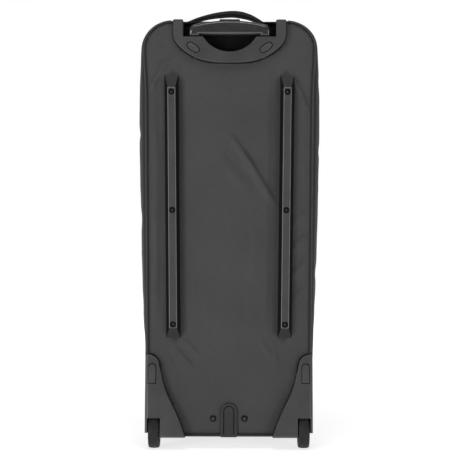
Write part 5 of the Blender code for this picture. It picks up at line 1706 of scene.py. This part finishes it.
def build_studio():
    """A pale floor that fades into a white room, and the four area lights."""
    place = (0, 0, FLOOR_Z)
    bpy.ops.mesh.primitive_circle_add(vertices=96, radius=FLOOR_RADIUS, fill_type="NGON", location=place)
    floor = bpy.context.object
    floor.name = "studio_floor"
    paint, tree, shader = start_finish("studio_floor", 0.9)
    shader.inputs["Base Color"].default_value = grey(0.92)
    spot = object_spot(tree)
    away = add_node(tree, "ShaderNodeVectorMath", {"Vector": spot}, operation="LENGTH").outputs["Value"]
    share = math_node(tree, "DIVIDE", away, FLOOR_RADIUS)
    fade = between(tree, share, grey(FLOOR_GLOW), grey(1.0), *FLOOR_FADE)
    tree.links.new(fade, shader.inputs["Emission Color"])
    shader.inputs["Emission Strength"].default_value = 1.0
    floor.data.materials.append(paint)
    world = bpy.data.worlds.new("studio_air")
    world.use_nodes = True
    tree = world.node_tree
    back = tree.nodes["Background"]
    back.inputs["Color"].default_value = grey(1.0)
    back.inputs["Strength"].default_value = AIR_GLOW
    white = add_node(tree, "ShaderNodeBackground", {"Color": grey(1.0), "Strength": 1.0}).outputs[0]
    seen = add_node(tree, "ShaderNodeLightPath").outputs["Is Camera Ray"]
    mixed = add_node(tree, "ShaderNodeMixShader", {0: seen, 1: back.outputs[0], 2: white}).outputs[0]
    tree.links.new(mixed, tree.nodes["World Output"].inputs["Surface"])
    bpy.context.scene.world = world
    bpy.context.scene.view_settings.view_transform = "Standard"
    for name, (place, aim, wide, tall, power) in LIGHTS.items():
        area_light(name, place, aim, wide, tall, power)


def build_camera():
    camera = bpy.data.cameras.new("photo_camera")
    camera.sensor_width = 36.0
    camera.lens = 18.0 / math.tan(math.radians(CAMERA_ANGLE) / 2)
    obj = bpy.data.objects.new("photo_camera", camera)
    bpy.context.scene.collection.objects.link(obj)
    obj.location = CAMERA_PLACE
    obj.rotation_euler = (math.pi / 2, CAMERA_ROLL, 0.0)
    bpy.context.scene.camera = obj


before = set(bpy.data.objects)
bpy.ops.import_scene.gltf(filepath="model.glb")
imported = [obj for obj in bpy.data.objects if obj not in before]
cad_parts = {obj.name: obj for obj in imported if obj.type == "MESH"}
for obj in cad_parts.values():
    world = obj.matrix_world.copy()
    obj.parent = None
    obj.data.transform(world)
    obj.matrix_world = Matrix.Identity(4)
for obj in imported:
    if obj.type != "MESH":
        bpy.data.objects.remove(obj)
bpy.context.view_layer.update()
bpy.ops.object.select_all(action="DESELECT")
finishes = {
    "rail": moulded_plastic("rail_plastic", 0.044, 0.50),
    # Rail flanks and screw recess floors: painted shade on the rail's plastic.
    "rail_flank_shade": moulded_plastic("rail_flank_shade_plastic", 0.005, 0.60, 0.15),
    # Rail ramps: a darker base moulding with painted shade.
    "rail_ramp_tone_and_shade": moulded_plastic("rail_ramp_tone_and_shade_plastic", 0.018, 0.50),
    # Rail edge rounds: a painted highlight.
    "rail_edge_highlight": moulded_plastic("rail_edge_highlight_plastic", 0.120, 0.40),
    # Very dark plastic for hollows: painted shade in the plate's bowl, the caps' and pads' recesses and the
    # wheel wells.
    "recess": moulded_plastic("recess_shade_plastic", 0.003, 0.60, 0.10),
    "screw": brushed_metal("screw_steel", 0.060, 0.34),
    # Very dark finish for painted shade: the washers round the rail screws, the tab's groove and the rivets'
    # collars.
    "shade_dark": moulded_plastic("shade_dark_plastic", 0.003, 0.5, 0.15),
    "plate": moulded_plastic("plate_plastic", 0.044, 0.48),
    "cap": moulded_plastic("cap_plastic", 0.060, 0.36),
    "grip": glossy_grip("grip_plastic", 0.030),
    "button": moulded_plastic("button_plastic", 0.010, 0.26, 0.7),
    "tube": brushed_metal("tube_metal", 0.45),
    "housing": moulded_plastic("housing_plastic", 0.042, 0.36, 0.5),
    "tyre": rubber("tyre_rubber", 0.014),
    "hub": moulded_plastic("hub_plastic", 0.045, 0.4),
    "tab": moulded_plastic("tab_plastic", 0.026, 0.45),
    "piping": woven_cloth("piping_weave", 0.030, 0.0009),
    "teeth": moulded_plastic("zip_plastic", 0.012, 0.4),
    "thread": moulded_plastic("thread", 0.030, 0.7),
    "strap": woven_cloth("strap_weave", 0.005, 0.0010),
}
cloth = build_body()
build_seams(cloth, finishes)
build_piping(finishes)
build_zip(finishes)
build_strap(finishes)
build_rails(finishes)
build_plate(finishes)
build_grip(finishes)
build_corners(finishes)
build_tab(finishes)
build_feet(finishes)
build_studio()
build_camera()
